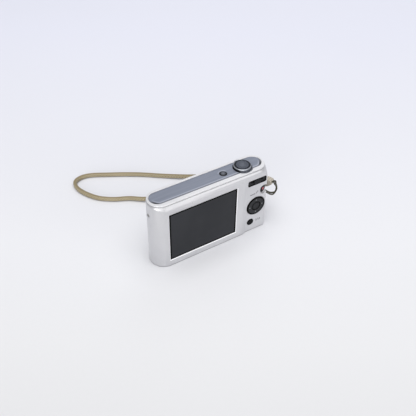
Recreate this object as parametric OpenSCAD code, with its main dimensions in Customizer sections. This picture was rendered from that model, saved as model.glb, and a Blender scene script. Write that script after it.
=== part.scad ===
// Compact digital camera with a retracting lens, a rear screen and a wrist strap.
// Millimetres. The origin is the middle of the underside; +X runs to the user's right
// with the screen facing the user, +Y is the way the lens looks and +Z is up.

/* [Body] */
// Width over both ends
body_w = 95.4; // [95:0.1:96.5]
// Height to the top cover
body_h = 56.2; // [56:0.1:57]
// Depth from the screen face to the front face
body_d = 21.7; // [21.6:0.1:22.4]
// Wall of the covers
wall = 1.2; // [1.1:0.05:1.25]
// Thickness of the top cover
top_t = 1.2; // [1.15:0.05:1.4]
// How far the shoulder comes in under the top cover
shoulder_in = 1.9; // [1.6:0.1:2]
// Height of the shoulder
shoulder_h = 3.6; // [3:0.1:4]
// How much deeper the control panel lies than the screen face
panel_drop = 1.05; // [0.9:0.05:1.15]
// Depth of the front cover
front_d = 5.85; // [5.6:0.05:6]

/* [Screen] */
// Width of the screen window
screen_w = 56; // [54:0.1:56.6]
// Height of the screen window
screen_h = 42; // [40:0.1:42.2]
// Width of the bevel round the window
bevel_w = 0.8; // [0.5:0.05:1.2]

/* [Controls] */
// Diameter of the four-way pad
pad_d = 16.1; // [15:0.1:16.3]
// Diameter of the button inside the pad
ok_d = 5.9; // [5.4:0.1:6.2]
// Diameter of the menu button
menu_d = 5.6; // [5:0.1:6]
// Diameter of the movie button
movie_d = 5.7; // [5.2:0.1:5.8]
// Length of the mode slot
slot_l = 16.2; // [15.4:0.1:16.4]
// Height of the mode slot
slot_h = 5.1; // [4.7:0.1:5.3]
// Diameter of the shutter button
shutter_d = 10.8; // [10:0.1:11]
// Diameter of the zoom ring
ring_d = 13.3; // [13:0.1:13.6]
// Diameter of the power button
power_d = 5.3; // [4.8:0.1:5.6]

/* [Lens] */
// Outside diameter of the lens trim ring
trim_d = 42; // [41:0.2:43]
// Outside diameter of the fixed lens tube
tube_d = 38.8; // [38.2:0.1:39]
// Free opening in front of the front glass
pupil_d = 10.4; // [9.6:0.1:10.8]

/* [Power and card] */
// Width of the battery
battery_w = 30.4; // [29.5:0.1:30.6]
// Length of the battery
battery_l = 37; // [36:0.1:37.2]
// Thickness of the battery
battery_t = 5.7; // [5.4:0.1:5.8]

/* [Strap] */
// Height of the flat strap
strap_w = 3.7; // [3.3:0.1:4]
// Thickness of the flat strap
strap_t = 1.9; // [1.6:0.1:2.2]
// Thickness of the thin cord
cord_d = 1.2; // [0.9:0.05:1.25]

/* [Hidden] */
$fn = 64;
hw = body_w / 2;
hd = body_d / 2;
fit = 0.1;
gap = 0.3;

z_part = body_h - top_t;
z_bend = z_part - shoulder_h;
z_roof = z_bend - 1.6;
y_back = -hd;
y_panel = y_back + panel_drop;
y_pin = y_panel + wall;
y_in = hd - wall;
y_split = hd - front_d;

glass_t = 0.9;
ledge_t = 0.6;
bevel_d = 0.5;
y_glass = y_back + bevel_d;
y_seat = y_glass + glass_t;
y_lcd = y_seat + ledge_t;
y_plate = y_lcd + 2.4;
y_board = y_plate + 0.6;
y_chip = y_board + 0.8;
y_lens = y_chip + 1.45;
screen_x = 38.6 - hw;
screen_z = body_h / 2 - 1.5;

corner_r = 2.2;
grip_r = 8;
step_x0 = hw - 22.8;
step_x1 = hw - 19.1;
step_r = (pow(step_x1 - step_x0, 2) + pow(panel_drop, 2)) / (4 * panel_drop);

roof_y = 0.5;
roof_x0 = 9.7 - hw;
roof_x1 = hw - 9;
roof_r = hd + roof_y;
bend_r = 24;
bend_low = 6;
bend_a = [roof_r, z_bend];
bend_b = [roof_r - shoulder_in, z_part];
bend_u = (bend_b - bend_a) / norm(bend_b - bend_a);
bend_c = (bend_a + bend_b) / 2
    + [-bend_u[1], bend_u[0]] * sqrt(pow(bend_r, 2) - pow(norm(bend_b - bend_a) / 2, 2));

pad_x = hw - 10.7;
pad_z = 23.4;
menu_x = hw - 14.9;
menu_z = 8.8;
slot_x = hw - 10.6;
slot_z = z_part - 8.85;
slot_rim = 0.35;
slot_lap = 0.75;
movie_x = hw - 4.3;
movie_z = z_part - 18.6;
movie_tilt = 20;
dish_r = 4;
flange = 0.35;
movie_y = y_panel + 0.1 + dish_r * sin(movie_tilt);
nub_r = 6;
pad_gap = 0.15;
press = 0.35;

shutter_x = hw - 17.9;
power_x = hw - 34;
power_y = 0.6;
well_r = ring_d / 2 + 0.5;
panel_r = 6.4;
panel_y = 1.2;
z_panel = body_h - 0.65;

slot_t = 2.75;
y_slot1 = y_in - 0.2;
y_slot0 = y_slot1 - slot_t;
y_mid = y_slot0 - 0.5;
y_bat1 = y_mid - fit;
y_bat0 = y_bat1 - battery_t;
y_hold = y_bat0 - fit - 0.8;
bat_x1 = hw - 4.1;
bat_x0 = bat_x1 - battery_w;
bat_z = 3;
hold_wall = 0.9;
bat_top = bat_z + battery_l;
card_x0 = hw - 33.2;
card_x1 = card_x0 + 24;
hinge_y = y_hold - 2.1;
hinge_z = 1.3;
knuckle_r = 1.25;
hinge_r = 0.5;
door_x0 = bat_x0 - 0.1;
door_x1 = bat_x1 + 0.5;
door_y1 = y_mid + 0.2;
door_y2 = y_in - 0.25;
door_x2 = card_x1 + 1;
door_t = 1.1;
ears = [door_x0 + 8, door_x0 + 20];
ear_w = 2.6;
latch_x = hw - 21;
latch_y = 3.6;

tube_r = tube_d / 2;
tube_t = 1;
cam_r = tube_r - tube_t - gap;
outer_r = cam_r - tube_t - gap;
inner_r = outer_r - tube_t - gap;
trim_in = outer_r + 0.4;
lens_x = bat_x0 - hold_wall - 0.5 - tube_r;
lens_z = body_h / 2 - 0.6;
y_cap = hd + 0.75;
pivot_x = 11.5;
pivot_z = 3;
pin_r = 0.8;

flash_x = hw - 25.2;
flash_z = z_roof - 4.6;
lamp_x = hw - 38.7;
lamp_z = z_roof - 3.3;
cap_x = 6.2 - hw;
cap_r = 4;

eye_z = z_part - 25.3;
bar_r = 1.5;
eye_w = 3;
eye_h = 1.7;
eye_y = y_hold - gap - 0.7 - eye_w;
bar_x = hw - 2.3;
eye_x = bar_x - bar_r - cord_d - 0.25;

socket_y = 0.5;
bush_r = 4.5;
thread_r = 2.55;
foot_screws = [[8.7 - hw, -1.5], [hw - 39.2, -2.6]];
side_z = z_part - 10;
head_r = 1.4;
shank_r = 0.75;

tab_a = [57, -3, 33.5];
tab_turn = 116.6;
tab_tilt = 20;
tab_l = 13.4;
tab_half = 2.5;
tab_h = 3.4;
tab_u = [cos(tab_turn) * cos(tab_tilt), sin(tab_turn) * cos(tab_tilt), -sin(tab_tilt)];
tab_v = [-sin(tab_turn), cos(tab_turn), 0];
tab_w = cross(tab_u, tab_v);
tab_b = tab_a + tab_u * tab_l;

strap_route = [
    [-8.8, 56.7, 3.9], [-20.1, 63.5, 2.7], [-29.3, 70.8, 2.3], [-41.4, 77.2, 2.1], [-51.6, 86.1, 2.1],
    [-58.6, 99.7, 2.1], [-59.3, 110.6, 2.1], [-54.3, 115.8, 2.1], [-44.6, 115.8, 2.1], [-30.2, 108.4, 2.1],
    [-9.6, 96.2, 2.1], [11.8, 80, 2.3]
];
strap_out = [[46, 23, 21.5], [28, 38, 12.5], [3.9, 51.3, 6.4]];
strap_home = [[30.3, 64.7, 4.4], [46, 45, 12.5], [53, 26, 21.5]];
ring_route = [
    [48.8, -6.6, 28.9], [51.6, -5.9, 26.1], [54.4, -5.2, 23.6], [57.2, -4.8, 22.2], [59.8, -4.5, 23.2],
    [60.8, -4.4, 25.7], [60.5, -4.2, 28.4], [59.6, -4.2, 31.2]
];
back_route = [
    [48.6, -2.4, 29.3], [51.2, -2.9, 27], [54.1, -3.6, 24.6], [56.8, -3.9, 23.4], [58.8, -3.9, 24.2],
    [59.4, -3.9, 26.2], [59, -4, 28.6], [57.8, -4.4, 31.6]
];

// Outward normal of the straight side between two corner circles [x, y, r]
function side(a, b) =
    let (d = [b[0] - a[0], b[1] - a[1]], u = d / norm(d), s = (a[2] - b[2]) / norm(d))
    u * s + [u[1], -u[0]] * sqrt(1 - s * s);
function touch(a, n) = [a[0] + n[0] * a[2], a[1] + n[1] * a[2]];
function wrap(c, i) = c[(i + len(c)) % len(c)];

// Corner circles of the body seen from above, drawn in by i
function body_corners(i) = [
    [hd - hw, 0, hd - i],
    [hw - 1.5 - corner_r, corner_r - hd, corner_r - i],
    [hw - grip_r, hd - grip_r, grip_r - i]
];
// Corner circles under the top cover, inside the shoulder
function top_corners() = [
    [hd - hw, 0.2, hd - wall - 2.2],
    [hw - 6.5, 4.8 - hd, 1.2],
    [hw - grip_r, hd - grip_r, grip_r - 3.4]
];

// Smooth curve through hand-set points
function spline_at(a, b, c, d, t) = 0.5 * (2 * b + (c - a) * t + (2 * a - 5 * b + 4 * c - d) * t * t
    + (3 * b - a - 3 * c + d) * t * t * t);
function spline(p, n) = [
    for (i = [0 : len(p) - 2])
        for (j = [0 : n - 1])
            spline_at(i == 0 ? 2 * p[0] - p[1] : p[i - 1], p[i], p[i + 1],
                i + 2 > len(p) - 1 ? 2 * p[i + 1] - p[i] : p[i + 2], j / n),
    p[len(p) - 1]
];
function unit(v) = v / norm(v);
function along(p, i) = unit(p[min(i + 1, len(p) - 1)] - p[max(i - 1, 0)]);
function level(t) = unit(cross([0, 0, 1], t));

module outline(c) {
    polygon([
        for (i = [0 : len(c) - 1])
            for (q = [touch(c[i], side(wrap(c, i - 1), c[i])), touch(c[i], side(c[i], wrap(c, i + 1)))])
                q
    ]);
    for (q = c)
        translate([q[0], q[1]])
            circle(q[2]);
}

// Eight-sided tube along p, a wide and b high, with its ends square to e0 and e1
module tube(p, a, b, e0, e1) {
    n = len(p);
    k = 8;
    dirs = [for (i = [0 : n - 1]) i == 0 ? e0 : i == n - 1 ? e1 : along(p, i)];
    pts = [
        for (i = [0 : n - 1])
            for (j = [0 : k - 1])
                let (t = dirs[i], s = level(t), u = cross(t, s), w = 22.5 + 45 * j)
                p[i] + s * (a / 2 * cos(w) / cos(22.5)) + u * (b / 2 * sin(w) / cos(22.5))
    ];
    polyhedron(pts, concat(
        [[for (j = [0 : k - 1]) k - 1 - j]],
        [for (i = [0 : n - 2]) for (j = [0 : k - 1])
            [i * k + j, i * k + (j + 1) % k, (i + 1) * k + (j + 1) % k]],
        [for (i = [0 : n - 2]) for (j = [0 : k - 1])
            [i * k + j, (i + 1) * k + (j + 1) % k, (i + 1) * k + j]],
        [[for (j = [0 : k - 1]) (n - 1) * k + j]]
    ));
}

module box(x0, x1, y0, y1, z0, z1)
    translate([x0, y0, z0])
        cube([x1 - x0, y1 - y0, z1 - z0]);

module rod_x(x0, x1, y, z, r)
    translate([x0, y, z])
        rotate([0, 90, 0])
            cylinder(r = r, h = x1 - x0);

module rod_y(y0, y1, x, z, r)
    translate([x, y0, z])
        rotate([-90, 0, 0])
            cylinder(r = r, h = y1 - y0);

module rod_z(z0, z1, x, y, r)
    translate([x, y, z0])
        cylinder(r = r, h = z1 - z0);

module pipe_y(y0, y1, x, z, r1, r0)
    difference() {
        rod_y(y0, y1, x, z, r1);
        rod_y(y0 - 1, y1 + 1, x, z, r0);
    }

// Outline in X and Z made solid from y0 to y1
module slab_y(y0, y1)
    translate([0, y1, 0])
        rotate([90, 0, 0])
            linear_extrude(y1 - y0)
                children();

// Outline in Y and Z made solid from x0 to x1
module slab_x(x0, x1)
    translate([x0, 0, 0])
        rotate([90, 0, 90])
            linear_extrude(x1 - x0)
                children();

module round_rect(w, h, r) {
    square([w - 2 * r, h], center = true);
    square([w, h - 2 * r], center = true);
    for (sx = [-1, 1])
        for (sy = [-1, 1])
            translate([sx * (w / 2 - r), sy * (h / 2 - r)])
                circle(r);
}

module at_movie()
    translate([movie_x, movie_y, movie_z])
        rotate([90, 0, movie_tilt])
            children();

module panel_step() {
    mid = (step_x0 + step_x1) / 2;
    translate([step_x1, y_back - 3])
        square([40, 3 + panel_drop]);
    intersection() {
        translate([mid, y_back - 3])
            square([step_x1 - mid + 0.01, 3 + panel_drop]);
        translate([step_x1, y_panel - step_r])
            circle(step_r);
    }
    difference() {
        translate([step_x0, y_back - 3])
            square([mid - step_x0 + 0.01, 3 + panel_drop / 2]);
        translate([step_x0, y_back + step_r - 0.01])
            circle(step_r);
    }
}

module roof_half() {
    translate([0, -1])
        square([roof_r + 2, z_bend - bend_low + 1]);
    intersection() {
        translate(bend_c)
            circle(bend_r, $fn = 128);
        translate([0, z_bend - bend_low])
            square([roof_r + 2, shoulder_h + bend_low]);
    }
}

module roof() {
    translate([roof_x0, roof_y, 0])
        rotate([0, 0, 90])
            rotate_extrude(angle = 180, $fn = 128)
                roof_half();
    translate([roof_x1, roof_y, 0])
        rotate([0, 0, -90])
            rotate_extrude(angle = 180, $fn = 128)
                roof_half();
    slab_x(roof_x0, roof_x1)
        translate([roof_y, 0]) {
            roof_half();
            mirror([1, 0])
                roof_half();
        }
}

module body_solid()
    intersection() {
        linear_extrude(z_part)
            difference() {
                outline(body_corners(0), $fn = 128);
                panel_step();
            }
        roof();
    }

module cavity() {
    translate([0, 0, wall])
        linear_extrude(z_roof - wall)
            difference() {
                outline(body_corners(wall), $fn = 128);
                translate([step_x0 - 1.6, y_back])
                    square([60, y_pin - y_back]);
            }
    translate([0, 0, z_roof - 0.5])
        linear_extrude(6)
            outline(top_corners(), $fn = 128);
}

module door_outline(g) {
    translate([door_x0 - g, hinge_y - knuckle_r - 0.2 - g])
        square([door_x1 - door_x0 + 2 * g, door_y1 - hinge_y + knuckle_r + 0.2 + 2 * g]);
    translate([door_x0 - g, 0])
        square([door_x2 - door_x0 + 2 * g, door_y2 + g]);
}

module bottom_holes() {
    translate([0, 0, -1])
        linear_extrude(wall + 1.5)
            door_outline(0.15);
    rod_z(-1, wall + 1, lens_x, socket_y, bush_r + 0.05);
    for (s = foot_screws) {
        rod_z(-1, 0.95, s[0], s[1], head_r + fit);
        rod_z(-1, 5, s[0], s[1], shank_r + fit);
    }
}

// Bevelled opening and seat for the screen window
module screen_opening() {
    x0 = screen_x - screen_w / 2;
    x1 = screen_x + screen_w / 2;
    z0 = screen_z - screen_h / 2;
    z1 = screen_z + screen_h / 2;
    e = bevel_w * 1.5;
    intersection() {
        translate([0, 0, -5])
            linear_extrude(body_h + 10)
                polygon([
                    [x0 - e, y_back - bevel_d / 2], [x1 + e, y_back - bevel_d / 2],
                    [x1, y_glass + 0.01], [x0, y_glass + 0.01]
                ]);
        slab_x(x0 - 5, x1 + 5)
            polygon([
                [y_back - bevel_d / 2, z0 - e], [y_back - bevel_d / 2, z1 + e],
                [y_glass + 0.01, z1], [y_glass + 0.01, z0]
            ]);
    }
    box(x0 - 0.05, x1 + 0.05, y_glass, y_seat, z0 - 0.05, z1 + 0.05);
    box(x0 + 2, x1 - 2, y_seat - 1, y_lcd + 1, z0 + 2, z1 - 2);
}

module rear_cover()
    color("#c8cbd0")
        difference() {
            union() {
                difference() {
                    intersection() {
                        body_solid();
                        box(-80, 80, -40, y_split, -1, 90);
                    }
                    cavity();
                }
                box(screen_x - screen_w / 2 - 2, screen_x + screen_w / 2 + 2, y_back + 1, y_lcd,
                    screen_z - screen_h / 2 - 2, screen_z + screen_h / 2 + 2);
                intersection() {
                    body_solid();
                    box(eye_x - 0.7, hw + 2, eye_y - eye_w - 0.7, eye_y + eye_w + 0.7,
                        eye_z - eye_h - 0.7, eye_z + eye_h + 0.7);
                }
                intersection() {
                    body_solid();
                    at_movie()
                        translate([0, 0, -1.5])
                            cylinder(r = dish_r + 0.4, h = 3);
                }
                for (s = foot_screws)
                    rod_z(wall - 0.5, wall + 1, s[0], s[1], 2.6);
            }
            screen_opening();
            rod_y(y_panel - 3, y_pin + 0.5, pad_x, pad_z, pad_d / 2 + pad_gap);
            rod_y(y_panel - 3, y_pin + 0.5, menu_x, menu_z, menu_d / 2 + pad_gap);
            slab_y(y_panel - 3, y_pin + 0.5)
                translate([slot_x, slot_z])
                    round_rect(slot_l, slot_h, 1.2);
            at_movie() {
                cylinder(r = dish_r, h = 6);
                translate([0, 0, -3])
                    cylinder(r = movie_d / 2 + pad_gap, h = 4);
                translate([0, 0, -2.6])
                    cylinder(r = movie_d / 2 + flange + pad_gap, h = 1.05);
            }
            box(eye_x, hw + 5, eye_y - eye_w, eye_y + eye_w, eye_z - eye_h, eye_z + eye_h);
            rod_z(eye_z - eye_h - 0.5, eye_z + eye_h + 0.5, bar_x, eye_y, bar_r);
            bottom_holes();
            rod_x(-hw - 1, 0.8 - hw, 0, side_z, head_r + fit);
            rod_x(-hw - 1, 3 - hw, 0, side_z, shank_r + fit);
        }

module front_cover()
    color("#c8cbd0")
        difference() {
            intersection() {
                body_solid();
                box(-80, 80, y_split, 40, -1, 90);
            }
            cavity();
            rod_y(y_in - 2, hd + 1, lens_x, lens_z, trim_d / 2 - 1);
            slab_y(y_in - 2, hd + 1)
                translate([flash_x, flash_z])
                    round_rect(13, 6.4, 1);
            rod_y(y_in - 2, hd + 1, lamp_x, lamp_z, 1.9);
            bottom_holes();
        }

module panel_outline(g) {
    outline([[8.7 - hw, panel_y, panel_r + g], [hw - 8.2, panel_y, panel_r + g]]);
    translate([shutter_x, 0])
        circle(well_r + 0.5 + g);
}

module top_cover()
    color("#d3d6da")
        difference() {
            union() {
                translate([0, 0, z_part])
                    linear_extrude(top_t)
                        intersection() {
                            outline(body_corners(0.12), $fn = 128);
                            outline([
                                [roof_x0, roof_y, roof_r - shoulder_in - 0.12],
                                [roof_x1, roof_y, roof_r - shoulder_in - 0.12]
                            ], $fn = 128);
                        }
                rod_z(z_part - 0.8, z_part + 0.1, shutter_x, 0, well_r);
                rod_z(z_part - 1, z_part + 0.1, power_x, power_y, 4);
                rod_z(z_part - 4.5, z_part + 0.1, power_x - 4, 2.2, 1.2);
                rod_z(z_part - 4.5, z_part + 0.1, shutter_x + 9.5, -3.2, 1.2);
            }
            translate([0, 0, z_panel])
                linear_extrude(3)
                    panel_outline(0.2);
            rod_z(z_part + 0.3, body_h + 1, shutter_x, 0, well_r);
            rod_z(z_part - 3, body_h + 1, shutter_x, 0, 4.6);
            rod_z(z_part - 0.1, body_h + 1, power_x, power_y, power_d / 2 + 0.2);
            rod_z(z_part - 3, body_h + 1, power_x, power_y, 1.3);
        }

module top_panel()
    color("#868d9c")
        translate([0, 0, z_panel])
            linear_extrude(0.53)
                difference() {
                    panel_outline(0);
                    translate([shutter_x, 0])
                        circle(well_r);
                    translate([power_x, power_y])
                        circle(power_d / 2 + 0.2);
                }

module screen_window()
    color("#2b2d30")
        box(screen_x - screen_w / 2, screen_x + screen_w / 2, y_glass, y_seat,
            screen_z - screen_h / 2, screen_z + screen_h / 2);

module screen_module()
    color("#9aa0a6")
        box(screen_x - screen_w / 2 - 1, screen_x + screen_w / 2 + 1, y_lcd, y_plate,
            screen_z - screen_h / 2 - 1, screen_z + screen_h / 2 + 1);

// Posts that carry the battery holder on the chassis plate
function hold_posts() = [[hw - 29.5, 12], [hw - 13.5, 12], [hw - 29.5, 38]];
// Feet that carry the lens tube on the chassis plate
function tube_feet() = [for (a = [45, 165, 285]) [lens_x + 16 * cos(a), lens_z + 16 * sin(a)]];

module chassis_frame()
    color("#8f9499")
        difference() {
            union() {
                box(6.2 - hw, hw - 8.3, y_plate, y_board, wall, z_roof - 1);
                box(8 - hw, hw - 37.9, y_plate, 3.4, wall, wall + 1);
                for (s = foot_screws)
                    rod_z(wall + 0.5, wall + 4, s[0], s[1], 3.2);
                intersection() {
                    box(-hw, 6.6 - hw, y_plate, 2.6, side_z - 2.6, side_z + 2.6);
                    rod_z(0, 60, hd - hw, 0, hd - wall - 0.1);
                }
                for (z = [9, 27])
                    box(6.2 - hw, cap_x + cap_r + 2, y_plate, -2.4, z, z + 3);
            }
            rod_z(0, 40, cap_x, -1, cap_r + 0.05);
            for (s = foot_screws) {
                rod_z(0, wall + 1, s[0], s[1], 2.8);
                rod_z(0, 20, s[0], s[1], shank_r);
            }
            rod_x(-hw, 10 - hw, 0, side_z, shank_r);
            rod_z(0, wall + 2, lens_x, socket_y, 6.2);
        }

module main_board()
    color("#2f6b4a")
        difference() {
            box(lens_x - 13, hw - 9.8, y_board, y_chip, wall + 4.2, z_roof - 1.5);
            for (p = hold_posts())
                rod_y(y_board - 1, y_chip + 1, p[0], p[1], 2.1);
            for (p = tube_feet())
                rod_y(y_board - 1, y_chip + 1, p[0], p[1], 2.1);
        }

module board_chips()
    color("#26282b") {
        box(hw - 26, hw - 16, y_chip, y_chip + 1.1, 20, 30);
        box(hw - 26, hw - 18, y_chip, y_chip + 1, 32, 37);
        box(hw - 24, hw - 18, y_chip, y_chip + 0.8, 10, 15);
    }

module image_sensor()
    color("#3a4a52")
        box(lens_x - 5.5, lens_x + 5.5, y_chip, y_lens, lens_z - 4.5, lens_z + 4.5);

module lens_tube()
    color("#3b3d40")
        difference() {
            union() {
                rod_y(y_lens, y_in - 0.25, lens_x, lens_z, tube_r);
                for (p = tube_feet())
                    rod_y(y_board, y_lens + 0.5, p[0], p[1], 1.8);
            }
            rod_y(y_lens + 1, hd + 5, lens_x, lens_z, tube_r - tube_t);
            box(lens_x - 3.6, lens_x + 3.6, y_lens - 1, y_lens + 2, lens_z - 2.8, lens_z + 2.8);
        }

module cam_ring()
    color("#5a5c60")
        difference() {
            pipe_y(y_lens + 1.2, y_in - 1, lens_x, lens_z, cam_r, cam_r - tube_t);
            for (a = [0, 120, 240])
                translate([lens_x, y_lens + 6, lens_z])
                    rotate([0, a, 0])
                        rotate([0, 0, 90])
                            translate([0, 0, cam_r])
                                rotate([0, 0, 35])
                                    cube([9, 1.6, 6], center = true);
        }

module lens_trim()
    color("#b9bcc1")
        translate([lens_x, 0, lens_z])
            rotate([-90, 0, 0])
                rotate_extrude($fn = 128)
                    polygon([
                        [trim_in, y_in], [trim_d / 2 - 1.05, y_in], [trim_d / 2 - 1.05, hd], [trim_d / 2, hd],
                        [trim_d / 2, hd + 0.7], [trim_d / 2 - 0.8, hd + 1.5], [trim_in + 0.9, hd + 1.5],
                        [trim_in, hd + 0.6]
                    ]);

module barrel_outer()
    color("#7d8085")
        pipe_y(y_lens + 1.6, hd + 0.05, lens_x, lens_z, outer_r, outer_r - tube_t);

module barrel_inner()
    color("#6a6d72")
        union() {
            difference() {
                rod_y(y_lens + 2.6, y_cap, lens_x, lens_z, inner_r);
                rod_y(y_lens + 1, y_cap - 6.9, lens_x, lens_z, inner_r - tube_t);
                rod_y(y_lens + 1, y_cap - 3.4, lens_x, lens_z, 9.6);
                rod_y(y_cap - 4, y_cap - 2, lens_x, lens_z, 7.5);
                rod_y(y_cap - 2.1, y_cap - 1, lens_x, lens_z, inner_r - tube_t);
                rod_y(y_cap - 2, y_cap + 1, lens_x, lens_z, pupil_d / 2);
            }
            for (s = [-1, 1])
                rod_y(y_cap - 2.2, y_cap - 0.9, lens_x + s * pivot_x, lens_z - s * pivot_z, pin_r);
        }

module front_lens()
    color("#9fb4c4")
        translate([lens_x, 0, lens_z])
            rotate([-90, 0, 0])
                rotate_extrude($fn = 96)
                    intersection() {
                        translate([0, y_cap - 6.9])
                            square([9.6, 3.5]);
                        translate([0, y_cap - 23.4])
                            circle(20, $fn = 128);
                    }

module blade_outline()
    difference() {
        union() {
            intersection() {
                circle(pupil_d / 2 + 1);
                translate([-20, 0.06])
                    square([40, 20]);
            }
            polygon([[4, 0.06], [7.2, 0.06], [10.4, -4], [12.6, -1.9], [8.6, 3.6], [4, 4.4]]);
            translate([pivot_x, -pivot_z])
                circle(1.5);
        }
        translate([pivot_x, -pivot_z])
            circle(pin_r + 0.05);
    }

module blade_upper()
    color("#4a4c50")
        slab_y(y_cap - 1.6, y_cap - 1.2)
            translate([lens_x, lens_z])
                blade_outline();

module blade_lower()
    color("#4a4c50")
        slab_y(y_cap - 1.6, y_cap - 1.2)
            translate([lens_x, lens_z])
                rotate(180)
                    blade_outline();

module zoom_gearbox()
    color("#2d2f32")
        difference() {
            box(6.9 - hw, lens_x - 13.4, y_board, 6, z_roof - 11.2, z_roof - 0.8);
            rod_y(y_board - 1, 10, lens_x, lens_z, tube_r + gap);
        }

module flash_capacitor()
    color("#1f2124")
        rod_z(6.8, 36, cap_x, -1, cap_r);

module flash_window()
    color("#dfe6ea") {
        slab_y(y_in, hd - 0.15)
            translate([flash_x, flash_z])
                round_rect(12.8, 6.2, 0.9);
        slab_y(y_in - 0.6, y_in)
            translate([flash_x, flash_z])
                round_rect(14.6, 8, 1);
    }

module flash_unit()
    color("#d9dadb")
        difference() {
            box(flash_x - 7.6, flash_x + 7.6, y_split - 1, y_in - 0.6, flash_z - 4, flash_z + 4);
            rod_x(flash_x - 6.4, flash_x + 6.4, y_in - 0.6, flash_z, 3.2);
        }

module flash_tube()
    color("#eef2f4")
        rod_x(flash_x - 6.4, flash_x + 6.4, y_in - 2.8, flash_z, 1);

module focus_lamp()
    color("#c7a36a") {
        rod_y(y_in, hd - 0.15, lamp_x, lamp_z, 1.8);
        rod_y(y_in - 0.6, y_in, lamp_x, lamp_z, 2.5);
    }

module tripod_socket()
    color("#b4b7bb")
        difference() {
            union() {
                rod_z(0, 6.4, lens_x, socket_y, bush_r);
                rod_z(wall, wall + 0.9, lens_x, socket_y, 6);
            }
            rod_z(-1, 5.6, lens_x, socket_y, thread_r);
        }

module cover_screws()
    color("#4b4e52") {
        for (s = foot_screws) {
            rod_z(0.1, 0.95, s[0], s[1], head_r);
            rod_z(0.5, 5, s[0], s[1], shank_r);
        }
        rod_x(0.1 - hw, 0.8 - hw, 0, side_z, head_r);
        rod_x(0.5 - hw, 5 - hw, 0, side_z, shank_r);
    }

module strap_bar()
    color("#9fa3a8")
        rod_z(eye_z - eye_h - 0.5, eye_z + eye_h + 0.5, bar_x, eye_y, bar_r);

module mode_switch_plate()
    color("#17181a")
        difference() {
            union() {
                box(slot_x - slot_l / 2 - slot_lap, hw - 2.9, y_pin, y_pin + 0.8,
                    slot_z - slot_h / 2 - slot_lap, slot_z + slot_h / 2 + slot_lap);
                slab_y(y_panel + 0.05, y_pin + 0.1)
                    translate([slot_x, slot_z])
                        round_rect(slot_l - 0.1, slot_h - 0.1, 1.15);
            }
            slab_y(y_panel - 1, y_pin)
                translate([slot_x, slot_z])
                    round_rect(slot_l - 2 * slot_rim, slot_h - 2 * slot_rim, 0.85);
            slab_y(y_pin - 1, y_pin + 2)
                translate([slot_x, slot_z])
                    round_rect(slot_l - 5.4, 1.6, 0.7);
        }

module mode_slider()
    color("#202225")
        translate([slot_x, 0, slot_z]) {
            difference() {
                slab_y(y_panel - 0.45, y_pin - 0.05)
                    round_rect(5.4, slot_h - 2 * slot_rim - gap, 0.8);
                for (x = [-1.6 : 0.8 : 1.6])
                    box(x - 0.15, x + 0.15, y_panel - 1, y_panel - 0.2, -3, 3);
            }
            rod_y(y_pin - 0.2, y_pin + 1.1, 0, 0, 0.7);
        }

module key_board()
    color("#3d7a55") {
        box(pad_x - 7.8, pad_x + 2.2, y_plate - 0.6, y_plate, 3.5, 40);
        box(pad_x - 7.8, pad_x + 7, y_plate - 0.6, y_plate, 15, 26.6);
        pipe_y(y_plate - 1.35, y_plate - 0.5, pad_x, pad_z, 4.5, 3.5);
    }

module key_domes()
    color("#c2a45c") {
        for (a = [0 : 90 : 270])
            rod_y(y_plate - 0.95, y_plate - 0.6, pad_x + nub_r * cos(a), pad_z + nub_r * sin(a), 1.4);
        rod_y(y_plate - 0.95, y_plate - 0.6, pad_x, pad_z, 1.6);
        rod_y(y_plate - 0.95, y_plate - 0.6, menu_x, menu_z, 1.6);
    }

module pad_pivot()
    color("#55585c")
        pipe_y(y_panel + 1.25, y_panel + 1.7, pad_x, pad_z, 4.7, 3.4);

module control_pad()
    color("#17181a")
        difference() {
            union() {
                rod_y(y_panel - 0.55, y_panel + 0.9, pad_x, pad_z, pad_d / 2);
                for (a = [0 : 90 : 270])
                    rod_y(y_panel + 0.5, y_plate - 0.95 - press, pad_x + nub_r * cos(a), pad_z + nub_r * sin(a), 0.8);
            }
            rod_y(y_panel - 2, y_panel + 2, pad_x, pad_z, ok_d / 2 + 0.2);
        }

module ok_button()
    color("#1d1e21") {
        rod_y(y_panel - 0.7, y_panel + 0.8, pad_x, pad_z, ok_d / 2);
        rod_y(y_panel + 0.5, y_plate - 0.95 - press, pad_x, pad_z, 1.3);
    }

module menu_button()
    color("#17181a") {
        rod_y(y_panel - 0.4, y_pin + 0.3, menu_x, menu_z, menu_d / 2);
        rod_y(y_pin + 0.1, y_pin + 0.5, menu_x, menu_z, menu_d / 2 + 0.6);
        rod_y(y_pin + 0.3, y_plate - 0.95 - press, menu_x, menu_z, 1.3);
    }

module movie_button()
    color("#17181a")
        at_movie()
            difference() {
                union() {
                    translate([0, 0, -1.9])
                        cylinder(r = movie_d / 2, h = 2.25);
                    translate([0, 0, -2])
                        cylinder(r = movie_d / 2 + flange, h = 0.4);
                }
                translate([0, 0, 0.15])
                    cylinder(r = 1.3, h = 1);
            }

module movie_dot()
    color("#b04049")
        at_movie()
            translate([0, 0, 0.15])
                cylinder(r = 1.3, h = 0.2);

module movie_switch()
    color("#6f7276")
        translate([0, 0, movie_z - 2.4])
            linear_extrude(4.8) {
                translate([movie_x, movie_y])
                    rotate(movie_tilt)
                        translate([-2.4, 2.35])
                            square([4.8, 1.25]);
                translate([hw - 9.2, y_board])
                    square([movie_x - 2.2 - hw + 9.2, 0.8]);
            }

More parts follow.
